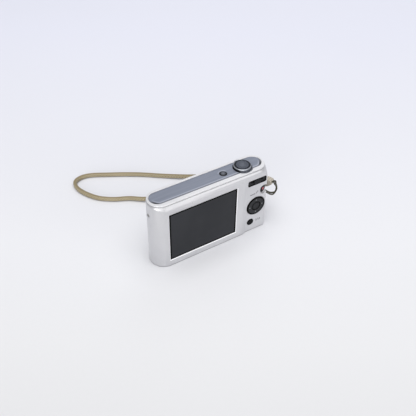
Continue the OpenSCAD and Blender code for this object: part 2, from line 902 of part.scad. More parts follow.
module zoom_lever()
    color("#a9afbb")
        translate([shutter_x, 0, 0])
            difference() {
                union() {
                    rod_z(z_part + 0.6, body_h + 1.85, 0, 0, ring_d / 2);
                    rod_z(z_part - 2, z_part + 1, 0, 0, 4.3);
                    slab_x(-1.6, 1.6)
                        polygon([
                            [ring_d / 2 - 1, body_h + 0.3], [ring_d / 2 + 1.6, body_h + 0.3],
                            [ring_d / 2 + 1.6, body_h + 0.6], [ring_d / 2 - 0.2, body_h + 1.85],
                            [ring_d / 2 - 1, body_h + 1.85]
                        ]);
                }
                rod_z(z_part + 1.2, body_h + 5, 0, 0, shutter_d / 2 + 0.2);
                rod_z(z_part - 5, body_h + 5, 0, 0, 1.9);
            }

module lever_washer()
    color("#8d9095")
        translate([shutter_x, 0, 0])
            difference() {
                rod_z(z_part - 1.8, z_part - 1.2, 0, 0, 5.8);
                rod_z(z_part - 3, z_part, 0, 0, 4.3);
            }

module shutter_button()
    color("#5f6776") {
        rod_z(body_h + 0.8, body_h + 2.1, shutter_x, 0, shutter_d / 2);
        rod_z(z_part - 3, body_h + 1, shutter_x, 0, 1.6);
    }

module power_button()
    color("#6d7482") {
        rod_z(z_part + 0.3, body_h + 0.2, power_x, power_y, power_d / 2);
        rod_z(z_part - 3.2, z_part + 0.5, power_x, power_y, 1);
    }

module top_board()
    color("#3d7a55")
        box(power_x - 5.4, shutter_x + 10.8, -4.6, 3.4, z_part - 5.3, z_part - 4.5);

module top_switches()
    color("#6f7276")
        for (p = [[shutter_x, 0], [power_x, power_y]])
            box(p[0] - 2, p[0] + 2, p[1] - 2, p[1] + 2, z_part - 4.5, z_part - 3.55);

module battery_holder()
    color("#303236")
        difference() {
            union() {
                box(bat_x0 - hold_wall, bat_x1 + hold_wall, y_hold, y_slot0, bat_z - 0.3, bat_top + 1);
                for (p = hold_posts())
                    rod_y(y_board, y_hold + 0.4, p[0], p[1], 1.8);
                for (x = ears) {
                    box(x, x + ear_w, hinge_y, y_hold + 0.7, hinge_z, hinge_z + 1.15);
                    box(x, x + ear_w, y_hold, y_hold + 0.7, hinge_z, bat_z + 1);
                    rod_x(x, x + ear_w, hinge_y, hinge_z, 1.15);
                }
            }
            box(bat_x0 - fit, bat_x1 + fit, y_bat0 - fit, y_bat1 + fit, 0, bat_top + 0.2);
            rod_x(0, 60, hinge_y, hinge_z, hinge_r);
        }

module battery()
    color("#33363a")
        box(bat_x0, bat_x1, y_bat0, y_bat1, bat_z, bat_top);

module battery_contacts()
    color("#c9a84e")
        for (x = [3, 6.5, 10])
            box(bat_x0 + x, bat_x0 + x + 1.6, y_bat0 + 1.5, y_bat1 - 1.5, bat_top, bat_top + 0.2);

module battery_catch()
    color("#b9682f") {
        box(bat_x0 - 1.9, bat_x0 - 1, y_bat0 + 1, y_bat0 + 4.4, 1.5, 9);
        box(bat_x0 - 1.9, bat_x0 + 0.8, y_bat0 + 1, y_bat0 + 4.4, 1.5, 2.5);
    }

module card_slot()
    color("#a8acb1")
        difference() {
            box(card_x0 - 0.8, card_x1 + 0.8, y_slot0, y_slot1, 6, 38);
            box(card_x0 - 0.2, card_x1 + 0.2, y_slot0 + 0.25, y_slot1 - 0.25, 0, 37.2);
        }

module memory_card()
    color("#24364f")
        slab_y(y_slot0 + 0.3, y_slot0 + 2.4)
            difference() {
                translate([card_x0, 3.4])
                    square([24, 32]);
                translate([card_x1, 35.4])
                    rotate(45)
                        square([4, 4], center = true);
            }

module door_hinge_pin()
    color("#9fa3a8")
        rod_x(door_x0 + 1, door_x1 - 1, hinge_y, hinge_z, hinge_r);

module battery_door()
    color("#c8cbd0")
        difference() {
            union() {
                linear_extrude(door_t)
                    difference() {
                        door_outline(0);
                        translate([0, hinge_y - 10])
                            square([60, 10]);
                    }
                rod_x(door_x0 + 1, ears[0] - 0.2, hinge_y, hinge_z, knuckle_r);
                rod_x(ears[0] + ear_w + 0.2, ears[1] - 0.2, hinge_y, hinge_z, knuckle_r);
                rod_x(ears[1] + ear_w + 0.2, door_x1 - 1, hinge_y, hinge_z, knuckle_r);
            }
            for (x = ears)
                box(x - 0.2, x + ear_w + 0.2, hinge_y - 2, hinge_y + 1.4, -1, 4);
            rod_x(0, 60, hinge_y, hinge_z, hinge_r + 0.06);
            box(latch_x - 4.2, latch_x + 4.2, latch_y - 1.7, latch_y + 3.2, -1, 0.75);
        }

module door_latch()
    color("#9a9da2")
        difference() {
            box(latch_x - 4, latch_x + 4, latch_y - 1.5, latch_y + 1.5, 0.1, 0.7);
            for (x = [-3 : 1 : 3])
                box(latch_x + x - 0.2, latch_x + x + 0.2, latch_y - 1, latch_y + 1, 0, 0.3);
        }

// Place a piece in the frame of the strap tab: +X runs from the cord end to the strap end
module at_tab()
    translate(tab_a)
        rotate([0, tab_tilt, tab_turn])
            children();

module strap_tab()
    color("#a79d88")
        at_tab()
            slab_y(-tab_half, tab_half)
                polygon([
                    [0, -1.3], [1, -2], [4.5, -tab_h], [tab_l, -tab_h],
                    [tab_l, tab_h], [4.5, tab_h], [1, 2], [0, 1.3]
                ]);

module wrist_strap()
    color("#a59a70") {
        lead = 4;
        a = tab_b + tab_v * 1.3;
        b = tab_b - tab_v * 1.3;
        tube(
            spline(concat([a, a + tab_u * lead], strap_out, strap_route, strap_home, [b + tab_u * lead, b]), 2),
            strap_t, strap_w, tab_u, -tab_u
        );
    }

module strap_cord()
    color("#57533f") {
        r = bar_r + cord_d / 2 + 0.14;
        turn = [for (w = [-90 : -22.5 : -270]) [bar_x + r * cos(w), eye_y + r * sin(w), eye_z]];
        a = tab_a + tab_v * 1.3 + tab_w * 0.5;
        b = tab_a - tab_v * 1.3 - tab_w * 0.5;
        tube(
            spline(concat([b, b - tab_u * 1.6], [for (i = [len(ring_route) - 1 : -1 : 0]) ring_route[i]], turn,
                back_route, [a - tab_u * 1.6, a]), 2),
            cord_d, cord_d, -tab_u, tab_u
        );
    }

rear_cover();
front_cover();
top_cover();
top_panel();
screen_window();
screen_module();
chassis_frame();
main_board();
board_chips();
image_sensor();
lens_tube();
cam_ring();
lens_trim();
barrel_outer();
barrel_inner();
front_lens();
blade_upper();
blade_lower();
zoom_gearbox();
flash_capacitor();
flash_window();
flash_unit();
flash_tube();
focus_lamp();
tripod_socket();
cover_screws();
strap_bar();
mode_switch_plate();
mode_slider();
key_board();
key_domes();
pad_pivot();
control_pad();
ok_button();
menu_button();
movie_button();
movie_dot();
movie_switch();
zoom_lever();
lever_washer();
shutter_button();
power_button();
top_board();
top_switches();
battery_holder();
battery();
battery_contacts();
battery_catch();
card_slot();
memory_card();
door_hinge_pin();
battery_door();
door_latch();
strap_tab();
wrist_strap();
strap_cord();
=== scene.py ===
import bpy, bmesh, math
from mathutils import Vector, Matrix
from mathutils.bvhtree import BVHTree


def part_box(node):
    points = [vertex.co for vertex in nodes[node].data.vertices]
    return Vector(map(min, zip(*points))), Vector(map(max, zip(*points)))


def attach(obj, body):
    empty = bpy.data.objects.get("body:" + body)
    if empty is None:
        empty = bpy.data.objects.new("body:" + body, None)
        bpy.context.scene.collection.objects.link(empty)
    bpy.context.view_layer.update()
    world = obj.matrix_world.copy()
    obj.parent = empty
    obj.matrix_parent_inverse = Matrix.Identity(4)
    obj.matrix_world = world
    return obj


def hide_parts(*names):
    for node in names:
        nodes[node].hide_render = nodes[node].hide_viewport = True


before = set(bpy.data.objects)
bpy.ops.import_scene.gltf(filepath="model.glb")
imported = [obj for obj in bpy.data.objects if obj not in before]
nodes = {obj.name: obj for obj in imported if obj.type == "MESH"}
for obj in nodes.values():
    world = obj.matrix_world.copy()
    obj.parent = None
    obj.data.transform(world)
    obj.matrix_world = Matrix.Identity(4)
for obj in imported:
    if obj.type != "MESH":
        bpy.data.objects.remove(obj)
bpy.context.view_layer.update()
mm = 0.001
print("stage: frame loaded,", len(nodes), "nodes")


def point(*v):
    return Vector(v) * mm


def linked(name, data):
    made = bpy.data.objects.new(name, data)
    bpy.context.scene.collection.objects.link(made)
    return made


# camera, matched to the photo's viewing angle
view = {
    "place": (-191.0, -297.65, 333.7), "forward": (0.4112, 0.6380, -0.6510), "right": (0.8406, -0.5417, 0.0),
    "roll": 0.74, "lens": 55.35, "sensor": 36.0, "clip": (0.01, 20.0),
}


def makeCamera(s):
    data = bpy.data.cameras.new("viewCamera")
    data.lens, data.sensor_width = s["lens"], s["sensor"]
    data.clip_start, data.clip_end = s["clip"]
    cam = linked("viewCamera", data)
    forward = Vector(s["forward"]).normalized()
    right = (Vector(s["right"]) - forward * forward.dot(Vector(s["right"]))).normalized()
    up = right.cross(forward)
    c, n = math.cos(math.radians(s["roll"])), math.sin(math.radians(s["roll"]))
    turn = Matrix((right * c + up * n, up * c - right * n, -forward)).transposed().to_4x4()
    cam.matrix_world = Matrix.Translation(point(*s["place"])) @ turn
    bpy.context.scene.camera = cam


makeCamera(view)


class Wire:  # a socket that can be used in plain maths
    def __init__(self, tree, socket):
        self.tree, self.socket = tree, socket

    def node(self, kind, settings=None, out=0, **values):
        made = self.tree.nodes.new(kind)
        for key, value in (settings or {}).items():
            if key == "stops":
                ramp = made.color_ramp.elements
                while len(ramp) < len(value):
                    ramp.new(0.5)
                for stop, (at, colour) in zip(ramp, value):
                    stop.position, stop.color = at, (*colour, 1.0)
            else:
                setattr(made, key, value)
        for key, value in values.items():
            numbered = key[0] == "i" and key[1:].isdigit()
            spot = made.inputs[int(key[1:]) if numbered else key.replace("_", " ")]
            if isinstance(value, Wire):
                self.tree.links.new(value.socket, spot)
            elif isinstance(value, tuple) and len(value) == 3 and spot.type == "RGBA":
                spot.default_value = (*value, 1.0)
            else:
                spot.default_value = value
        return Wire(self.tree, made.outputs[out]) if len(made.outputs) else None

    def calc(self, how, a, b=0.0):
        return self.node("ShaderNodeMath", {"operation": how}, i0=a, i1=b)

    def __add__(self, o): return self.calc("ADD", self, o)
    def __radd__(self, o): return self.calc("ADD", o, self)
    def __sub__(self, o): return self.calc("SUBTRACT", self, o)
    def __rsub__(self, o): return self.calc("SUBTRACT", o, self)
    def __mul__(self, o): return self.calc("MULTIPLY", self, o)
    def __rmul__(self, o): return self.calc("MULTIPLY", o, self)
    def __truediv__(self, o): return self.calc("DIVIDE", self, o)
    def __rtruediv__(self, o): return self.calc("DIVIDE", o, self)
    def __pow__(self, o): return self.calc("POWER", self, o)
    def __rpow__(self, o): return self.calc("POWER", o, self)
    def size(self): return self.calc("ABSOLUTE", self)
    def wave(self): return self.calc("SINE", self)
    def most(self, o): return self.calc("MAXIMUM", self, o)
    def least(self, o): return self.calc("MINIMUM", self, o)

    def ripple(self, pitch):  # sine along a length, pitch in mm
        return (self * (2 * math.pi / (pitch * mm))).wave()

    def band(self, low, high):  # 0 below low, 1 above high, smooth between
        return self.node("ShaderNodeMapRange", {"interpolation_type": "SMOOTHSTEP"},
                         Value=self, From_Min=low, From_Max=high, To_Min=0.0, To_Max=1.0)

    def fade(self, low, high):  # band with its limits in mm
        return self.band(low * mm, high * mm)

    def part(self, which):
        return self.node("ShaderNodeSeparateXYZ", out=which, Vector=self)

    def noise(self, scale, detail=3.0, rough=0.5):
        return self.node("ShaderNodeTexNoise", Vector=self, Scale=scale, Detail=detail, Roughness=rough)

    def stretch(self, x, y, z):
        return self.node("ShaderNodeMapping", Vector=self, Scale=(x, y, z))

    def tint(self, a, b):  # mixes two colours by this value
        return self.node("ShaderNodeMix", {"data_type": "RGBA"}, out=2, i0=self, i6=a, i7=b)

    def away(self, x, y, z, axes):  # distance from a point, on the named axes
        total = 0.0
        for k, v in zip("xyz", (x, y, z)):
            if k in axes:
                step = self.part("xyz".index(k)) - v * mm
                total = step * step + total
        return total ** 0.5


class Finish:  # one material: patterns start at spot or cloth, surface() closes it
    def __init__(self, name):
        self.material = bpy.data.materials.new(name)
        self.material.use_nodes = True
        self.tree = self.material.node_tree
        self.tree.nodes.clear()
        coords = self.tree.nodes.new("ShaderNodeTexCoord")
        self.spot = Wire(self.tree, coords.outputs["Object"])
        self.cloth = Wire(self.tree, coords.outputs["UV"])

    def edgeWear(self, reach, sharp=0.06):  # 1 on convex edges, 0 on flats
        soft = self.spot.node("ShaderNodeBevel", {"samples": 6}, Radius=reach)
        true = self.spot.node("ShaderNodeNewGeometry", out="Normal")
        same = self.spot.node("ShaderNodeVectorMath", {"operation": "DOT_PRODUCT"}, out="Value",
                              i0=soft, i1=true)
        return (1.0 - same).band(0.0, sharp)

    def fromWindow(self):  # distance outside the screen window, seen from behind
        low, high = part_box("screen_window")
        middle, half = (low + high) / 2, (high - low) / 2
        across = (self.spot.part(0) - middle.x).size() - half.x
        return across.most((self.spot.part(2) - middle.z).size() - half.z)

    def speckled(self, colour, low, share, grainScale, cloudScale):
        grain, cloud = self.spot.noise(grainScale, 2.0), self.spot.noise(cloudScale, 3.0)
        mix = (grain * share + cloud * (1.0 - share)).band(0.3, 0.7)
        return grain, cloud, mix.tint(dim(colour, low), colour)

    def turned(self, centre, axes, pitch):  # distance, tool rings, grain and cloud round a centre
        reach = self.spot.away(*centre, axes)
        return reach, reach.ripple(pitch) * 0.5 + 0.5, self.spot.noise(1500.0, 2.0), self.spot.noise(80.0, 3.0)

    def surface(self, bump=None, height=0.00002, edge=0.0, **values):
        normal = self.spot.node("ShaderNodeBevel", {"samples": 6}, Radius=edge) if edge else None
        if bump is not None:
            under = {"Normal": normal} if normal else {}
            normal = self.spot.node("ShaderNodeBump", Strength=1.0, Distance=height, Height=bump, **under)
        if normal:
            values["Normal"] = normal
        shader = self.spot.node("ShaderNodeBsdfPrincipled", **values)
        self.spot.node("ShaderNodeOutputMaterial", Surface=shader)
        return self.material


# finishes
fineBump, fineEdge, tightEdge = 0.000004, 0.00015, 0.0001


def dim(colour, share):
    return tuple(v * share for v in colour)


def moulded(name, light, dark, rough, coat=0.0, grain=2200.0, edge=fineEdge, **more):
    f = Finish(name)
    speck, cloud = f.spot.noise(grain, 2.0), f.spot.noise(70.0, 4.0)
    mix = (speck * 0.4 + cloud * 0.6).band(0.3, 0.7)
    return f.surface(speck, fineBump, edge, Base_Color=mix.tint(dark, light), Coat_Weight=coat,
                     Roughness=(cloud - 0.5) * 0.14 + (speck - 0.5) * 0.05 + rough, **more)


def brushedMetal(name, light, dark, rough, axis, metal=1.0):
    f = Finish(name)
    hair = f.spot.stretch(*[12.0 if k == axis else 900.0 for k in "xyz"]).noise(1.0, 4.0, 0.6)
    cloud = f.spot.noise(55.0, 3.0)
    mix = (hair * 0.6 + cloud * 0.4).band(0.25, 0.75)
    return f.surface(hair, 0.000003, fineEdge, Base_Color=mix.tint(dark, light), Metallic=metal,
                     Roughness=(hair - 0.5) * 0.16 + (cloud - 0.5) * 0.1 + rough)


def turnedMetal(name, light, dark, rough, centre, axes, pitch, metal=1.0):
    f = Finish(name)
    rings, speck, cloud = f.turned(centre, axes, pitch)[1:]
    mix = (rings * 0.5 + speck * 0.2 + cloud * 0.3).band(0.2, 0.8)
    return f.surface(rings, fineBump, fineEdge, Base_Color=mix.tint(dark, light), Metallic=metal,
                     Roughness=(rings - 0.5) * 0.1 + (cloud - 0.5) * 0.12 + rough)


# The gap and well colours paint shade in the sunk wells and in the gap round the tilted button, the bevel colour paints
# a highlight on the screen window's bevel, the seam colour paints shade along the parting line and the foot colour
# paints a contact shadow along the base; worn is edge wear.
satin = {
    "worn": (0.86, 0.87, 0.88), "gap": (0.012, 0.0125, 0.014), "well": (0.36, 0.375, 0.41),
    "bevel": (0.92, 0.92, 0.94), "seamShade": (0.06, 0.06, 0.065), "foot": (0.17, 0.17, 0.18), "rear": -10.0,
    "wellNear": (0.55, 0.9), "soft": 0.1, "bevelIn": (-0.15, 0.0), "bevelOut": (0.5, 0.7), "seamUp": (0.2, 0.4),
    "footUp": (0.04, 0.12), "footOff": (0.45, 0.85), "shoulder": (49.5, 51.0),
}


def satinSilver(name, light, dark, rough=0.36, shadedWells=(), seamShade=0.0, eye=None):  # sunk rings (x, y, radius), each painted with shade, darkest on its far side
    f = Finish(name)
    y, z = f.spot.part(1), f.spot.part(2)
    flake, cloud = f.spot.noise(5200.0, 2.0), f.spot.noise(38.0, 4.0)
    smear = f.spot.stretch(1.0, 1.0, 0.35).noise(140.0, 5.0)
    paint = (flake * 0.45 + cloud * 0.55).band(0.25, 0.75).tint(dark, light)
    paint = (f.edgeWear(0.0004) * smear.band(0.45, 0.7) * 0.35).tint(paint, satin["worn"])
    # painted shade in each sunk well: near-black on the far side, grey on the near side
    for wellX, wellY, reach in shadedWells:
        near = (wellY * mm - y).fade(*(v * reach for v in satin["wellNear"]))
        deep = near.tint(satin["gap"], satin["well"])
        paint = f.spot.away(wellX, wellY, 0, "xy").fade(reach - satin["soft"], reach).tint(deep, paint)
    # painted highlight on the bevel round the screen window, on the rear face only
    away, back = f.fromWindow(), (y - satin["rear"] * mm).fade(*satin["bevelIn"])
    bevel = away.fade(*satin["bevelIn"]) * (1.0 - away.fade(*satin["bevelOut"])) * (1.0 - back)
    paint = bevel.tint(paint, satin["bevel"])
    # painted shade along the lower edge of the cover at the parting line
    if seamShade:
        paint = (z - seamShade * mm).fade(*satin["seamUp"]).tint(satin["seamShade"], paint)
    if eye:  # painted shade in the gap round the tilted button, a painted contact shadow along the foot, smoother shoulders
        paint = f.spot.away(*eye[:3], "xyz").fade(eye[3] - satin["soft"], eye[3]).tint(satin["gap"], paint)
        # painted contact shadow along the foot
        foot = z.fade(*satin["footUp"]) * (1.0 - z.fade(*satin["footOff"]))
        paint = (foot * 0.8).tint(paint, satin["foot"])
        rough = rough - z.fade(*satin["shoulder"]) * 0.05
    return f.surface(flake, 0.0000025, fineEdge, Base_Color=paint, Metallic=0.5, Coat_Weight=0.12, Coat_Roughness=0.2,
                     Roughness=(smear - 0.5) * 0.16 + (flake - 0.5) * 0.08 + rough)


movieAt = (43.4, -8.332, 36.4)
ringAt, powerAt = (29.8, 0.0, 56.2), (13.7, 0.6, 56.2)
finish = {
    "shell": satinSilver("satinSilver", (0.625, 0.625, 0.64), (0.55, 0.55, 0.57), eye=(*movieAt, 3.3)),
    # the roof's sunk wells round the zoom ring and the power button, and its parting line, are painted with shade
    "roof": satinSilver("paleSilver", (0.74, 0.74, 0.755), (0.66, 0.66, 0.68), 0.34,
                        [(*ringAt[:2], 7.5), (*powerAt[:2], 3.1)], 55.0),
    "dark": moulded("darkMoulding", (0.035, 0.036, 0.04), (0.02, 0.021, 0.024), 0.55),
    "button": moulded("blackGloss", (0.011, 0.011, 0.012), (0.007, 0.007, 0.008), 0.36, grain=3200.0,
                      Specular_IOR_Level=0.05),
    "okFace": moulded("okFace", (0.030, 0.031, 0.034), (0.022, 0.0225, 0.025), 0.4, grain=3200.0,
                      Specular_IOR_Level=0.08),
    "steel": brushedMetal("plainSteel", (0.52, 0.53, 0.54), (0.40, 0.41, 0.42), 0.36, "x"),
    "can": brushedMetal("sheetCan", (0.48, 0.50, 0.52), (0.38, 0.40, 0.42), 0.4, "z"),
    "grey": moulded("greyMoulding", (0.20, 0.205, 0.21), (0.15, 0.155, 0.16), 0.5),
    "paleGrey": moulded("paleGreyMoulding", (0.36, 0.365, 0.38), (0.29, 0.295, 0.31), 0.45),
    "orange": moulded("orangeMoulding", (0.52, 0.15, 0.03), (0.42, 0.11, 0.02), 0.45),
    "cardBlue": moulded("cardBlue", (0.022, 0.045, 0.10), (0.014, 0.03, 0.07), 0.42),
    "wrap": moulded("batteryWrap", (0.045, 0.05, 0.058), (0.03, 0.034, 0.04), 0.4),
    "white": moulded("whiteMoulding", (0.80, 0.81, 0.82), (0.70, 0.71, 0.72), 0.25),
    "gold": brushedMetal("goldContact", (0.80, 0.58, 0.24), (0.68, 0.47, 0.17), 0.3, "z"),
    "nickel": brushedMetal("nickelPlate", (0.60, 0.58, 0.54), (0.50, 0.48, 0.45), 0.26, "z"),
    "screw": brushedMetal("screwSteel", (0.40, 0.395, 0.38), (0.29, 0.285, 0.275), 0.38, "y"),
    "print": moulded("greyPrint", (0.10, 0.10, 0.105), (0.07, 0.07, 0.075), 0.5, edge=0.0),
    "paleMark": moulded("paleMark", (0.30, 0.305, 0.315), (0.24, 0.245, 0.255), 0.4, edge=0.0),
}
print("stage: plain finishes made")


# mesh tools
def smoothed(name, data, sharp=35.0):
    data.shade_smooth()
    data.set_sharp_from_angle(angle=math.radians(sharp))
    return linked(name, data)


def toObject(name, bm, sharp=35.0):
    data = bpy.data.meshes.new(name)
    bm.to_mesh(data)
    bm.free()
    return smoothed(name, data, sharp)


def toSolid(name, bm, where=None, sharp=35.0):
    bmesh.ops.recalc_face_normals(bm, faces=bm.faces[:])
    if where:
        bm.transform(where)
    return toObject(name, bm, sharp)


def coat(obj, look):
    obj.data.materials.clear()
    obj.data.materials.append(finish[look])


def place(obj, body, look, slot=None, *stands):  # material, body and what the piece stands for
    coat(obj, look)
    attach(obj, body)
    if stands:
        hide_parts(*stands)
    return obj


def dress(look, *names):
    for name in names:
        coat(nodes[name], look)


def facing(way, x, y, z):  # turns a piece's own up towards a side of the camera
    turns = {"rear": (90, "X"), "front": (-90, "X"), "top": (0, "X")}
    angle, axis = turns[way]
    return Matrix.Translation(point(x, y, z)) @ Matrix.Rotation(math.radians(angle), 4, axis)


def rounded(profile, closed, turns=4):  # corners (radius, height, fillet) to a smooth line
    line, count = [], len(profile)
    for k, corner in enumerate(profile):
        p, fillet = Vector(corner[:2]), corner[2] if len(corner) > 2 else 0.0
        if not fillet or (not closed and k in (0, count - 1)):
            line.append(p)
            continue
        a, b = Vector(profile[k - 1][:2]) - p, Vector(profile[(k + 1) % count][:2]) - p
        half = a.angle(b) / 2
        reach = min(fillet / math.tan(half), a.length * 0.48, b.length * 0.48)
        middle = p + (a.normalized() + b.normalized()).normalized() * (reach / math.cos(half))
        start, end = p + a.normalized() * reach - middle, p + b.normalized() * reach - middle
        first = math.atan2(start.y, start.x)
        sweep = (math.atan2(end.y, end.x) - first + math.pi) % (2 * math.pi) - math.pi
        for i in range(turns + 1):
            w = first + sweep * i / turns
            line.append(middle + Vector((math.cos(w), math.sin(w))) * start.length)
    return line


def around(steps):
    return [2 * math.pi * k / steps for k in range(steps)]


def ringOf(bm, radius, z, steps):
    return [bm.verts.new(point(radius * math.cos(w), radius * math.sin(w), z)) for w in around(steps)]


def bridge(bm, low, high):  # quads between two rings of one count
    for k in range(len(low)):
        n = (k + 1) % len(low)
        bm.faces.new((low[k], low[n], high[n], high[k]))


def lathe(name, profile, where, steps=64, closed=False):
    bm, rows = bmesh.new(), []
    for p in rounded(profile, closed):
        rows.append(ringOf(bm, p.x, p.y, steps if p.x > 1e-5 else 1))
    for low, high in list(zip(rows, rows[1:])) + ([(rows[-1], rows[0])] if closed else []):
        for k in range(steps):
            n = (k + 1) % steps
            face = [low[k % len(low)], low[n % len(low)], high[n % len(high)], high[k % len(high)]]
            face = [v for i, v in enumerate(face) if v not in face[:i]]
            if len(face) > 2:
                bm.faces.new(face)
    return toSolid(name, bm, where)


def prism(name, outline, thick, where, bevel=0.0, segments=3):  # outline in mm, made solid upwards
    bm = bmesh.new()
    face = bm.faces.new([bm.verts.new(point(x, y, 0.0)) for x, y in outline])
    grown = bmesh.ops.extrude_face_region(bm, geom=[face])
    top = [v for v in grown["geom"] if isinstance(v, bmesh.types.BMVert)]
    bmesh.ops.translate(bm, verts=top, vec=(0, 0, thick * mm))
    bmesh.ops.recalc_face_normals(bm, faces=bm.faces[:])
    if bevel:
        bmesh.ops.bevel(bm, geom=bm.edges[:], offset=bevel * mm, segments=segments, profile=0.5, affect="EDGES")
    bm.transform(where)
    return toObject(name, bm)


def spline(points, count):  # smooth curve through set points, as in the part's source
    ends = [2 * points[0] - points[1]] + points + [2 * points[-1] - points[-2]]
    line = []
    for a, b, c, d in zip(ends, ends[1:], ends[2:], ends[3:]):
        for k in range(count):
            t = k / count
            line.append(0.5 * (2 * b + (c - a) * t + (2 * a - 5 * b + 4 * c - d) * t ** 2
                               + (3 * b - a - 3 * c + d) * t ** 3))
    return line + [points[-1]]


def sweepTube(name, line, wide, high, power, ends, sides=28, turn=None):  # flat or round tube, UV along it
    bm = bmesh.new()
    uv = bm.loops.layers.uv.new("lay")
    rows, run = [], [0.0]
    for k, p in enumerate(line):
        if k:
            run.append(run[-1] + (p - line[k - 1]).length)
        inside = 0 < k < len(line) - 1
        t = (line[k + 1] - line[k - 1]).normalized() if inside else ends[1 if k else 0]
        side = Vector((0, 0, 1)).cross(t).normalized()
        up = t.cross(side)
        lean, fill = turn(p) if turn else (0.0, 1.0)
        c, n = math.cos(lean), math.sin(lean)
        side, up = (side * c + up * n) * fill, up * c - side * n
        row = []
        for w in around(sides):
            c, n = math.cos(w), math.sin(w)
            row.append(bm.verts.new(p + side * (wide / 2 * math.copysign(abs(c) ** power, c))
                                    + up * (high / 2 * math.copysign(abs(n) ** power, n))))
        rows.append(row)
    for k in range(len(rows) - 1):
        for j in range(sides):
            n = (j + 1) % sides
            face = bm.faces.new((rows[k][j], rows[k][n], rows[k + 1][n], rows[k + 1][j]))
            for loop, (a, b) in zip(face.loops, ((k, j), (k, j + 1), (k + 1, j + 1), (k + 1, j))):
                loop[uv].uv = (run[a] / mm, b / sides)
    for row in (rows[0], rows[-1]):
        bm.faces.new(row)
    return toSolid(name, bm, None, 60.0), run[-1]


# cords: the strap and the thin loop, on the routes of the part's source
strap = {
    "tabStart": (57, -3, 33.5), "tabTurn": 116.6, "tabTilt": 20.0, "tabLength": 13.4, "spread": 1.3,
    "width": 3.7, "thick": 1.9, "plump": 1.2, "press": 0.97, "boxy": 0.62, "lead": 4.0, "steps": 12,
    "lean": 14.0, "fill": 0.24, "turnX": (-44.0, -56.0), "turnY": (96.0, 108.0),
    "out": [(46, 23, 21.5), (28, 38, 12.5), (3.9, 51.3, 6.4)],
    "loop": [(-8.8, 56.7, 3.9), (-20.1, 63.5, 2.7), (-29.3, 70.8, 2.3), (-41.4, 77.2, 2.1), (-51.6, 86.1, 2.1),
             (-58.6, 99.7, 2.1), (-59.3, 110.6, 2.1), (-54.3, 115.8, 2.1), (-44.6, 115.8, 2.1), (-30.2, 108.4, 2.1),
             (-9.6, 96.2, 2.1), (11.8, 80, 2.3)],
    "home": [(30.3, 64.7, 4.4), (46, 45, 12.5), (53, 26, 21.5)],
    "light": (0.53, 0.455, 0.305), "dark": (0.23, 0.187, 0.105), "weave": (6.0, 2.4, 0.00016),
}
tabTurn, tabTilt = math.radians(strap["tabTurn"]), math.radians(strap["tabTilt"])
tabAlong = Vector((math.cos(tabTurn) * math.cos(tabTilt), math.sin(tabTurn) * math.cos(tabTilt), -math.sin(tabTilt)))
tabAcross = Vector((-math.sin(tabTurn), math.cos(tabTurn), 0.0))
tabUp = tabAlong.cross(tabAcross)
tabStart = point(*strap["tabStart"])
tabEnd = tabStart + tabAlong * strap["tabLength"] * mm


def webbing(name, s, turnShade=None):  # diagonal braid that follows the UV map
    f = Finish(name)
    across, pitch, height = s["weave"]
    along, around = f.cloth.part(0), f.cloth.part(1)
    left = ((along / pitch + around * across) * (2 * math.pi)).wave()
    right = ((along / pitch - around * across) * (2 * math.pi)).wave()
    yarn = f.cloth.stretch(6.0, 160.0, 1.0).noise(1.0, 3.0)
    weave = left.most(right) * 0.5 + 0.5
    worn = f.cloth.stretch(0.06, 2.0, 1.0).noise(1.0, 3.0)
    # painted shade, darker on the strap's narrow top and bottom edges
    rim = (around * (2 * math.pi)).wave().size().band(0.55, 0.95)
    shade = (weave * 0.55 + yarn * 0.3 + worn * 0.25).band(0.3, 0.95) * (1.0 - rim * 0.85)
    if turnShade:  # painted shade on the strap's turn, darker past this x
        shade = shade * (0.55 + f.spot.part(0).fade(turnShade[1], turnShade[0]) * 0.45)
    return f.surface(weave + yarn * 0.3, height, Base_Color=shade.tint(s["dark"], s["light"]),
                     Roughness=0.86 - weave * 0.1, Sheen_Weight=0.25, Specular_IOR_Level=0.25)


def makeStrap(s):
    aside = tabAcross * s["spread"] * mm
    a, b = tabEnd + aside, tabEnd - aside
    lead = tabAlong * s["lead"] * mm
    stops = [point(*p) for p in s["out"] + s["loop"] + s["home"]]
    line = spline([a, a + lead] + stops + [b + lead, b], s["steps"])
    finish["strap"] = webbing("strapWebbing", s, s["turnX"])

    def share(value, span):
        return min(1.0, max(0.0, (value / mm - span[0]) / (span[1] - span[0])))

    def turn(p):  # round its turn the webbing leans inward and fills out
        there = share(p.x, s["turnX"])
        return math.radians(s["lean"]) * there * (1.0 - share(p.y, s["turnY"])), 1.0 + s["fill"] * there

    piece, length = sweepTube("wristStrap", line, s["thick"] * s["plump"] * mm, s["width"] * s["press"] * mm, s["boxy"],
                              (tabAlong, -tabAlong), turn=turn)
    place(piece, "camera_body", "strap", "strap_khaki", "wrist_strap")
    print("stage: strap, %.0f mm long" % (length / mm))


makeStrap(strap)

thinCord = {
    "thick": 1.2, "barX": 45.4, "barY": -4.5, "barRadius": 1.5, "eyeZ": 29.7, "gap": 0.14, "spread": 1.3, "rise": 0.5,
    "lead": 1.6, "steps": 8, "weave": (3.0, 1.1, 0.00012),
    "ring": [(48.8, -6.6, 28.9), (51.6, -5.9, 26.1), (54.4, -5.2, 23.6), (57.2, -4.7, 22.2), (59.85, -4.0, 23.2),
             (60.9, -3.85, 25.6), (60.6, -3.75, 28.2), (59.5, -4.1, 30.9)],
    "back": [(48.6, -2.4, 29.3), (51.2, -2.9, 27), (54.1, -3.6, 24.6), (56.9, -4.0, 23.4), (58.9, -4.65, 23.9),
             (59.92, -4.55, 26.25), (59.62, -4.45, 28.85), (58.1, -4.5, 31.4)],
    "light": (0.066, 0.06, 0.037), "dark": (0.027, 0.0245, 0.015),
}


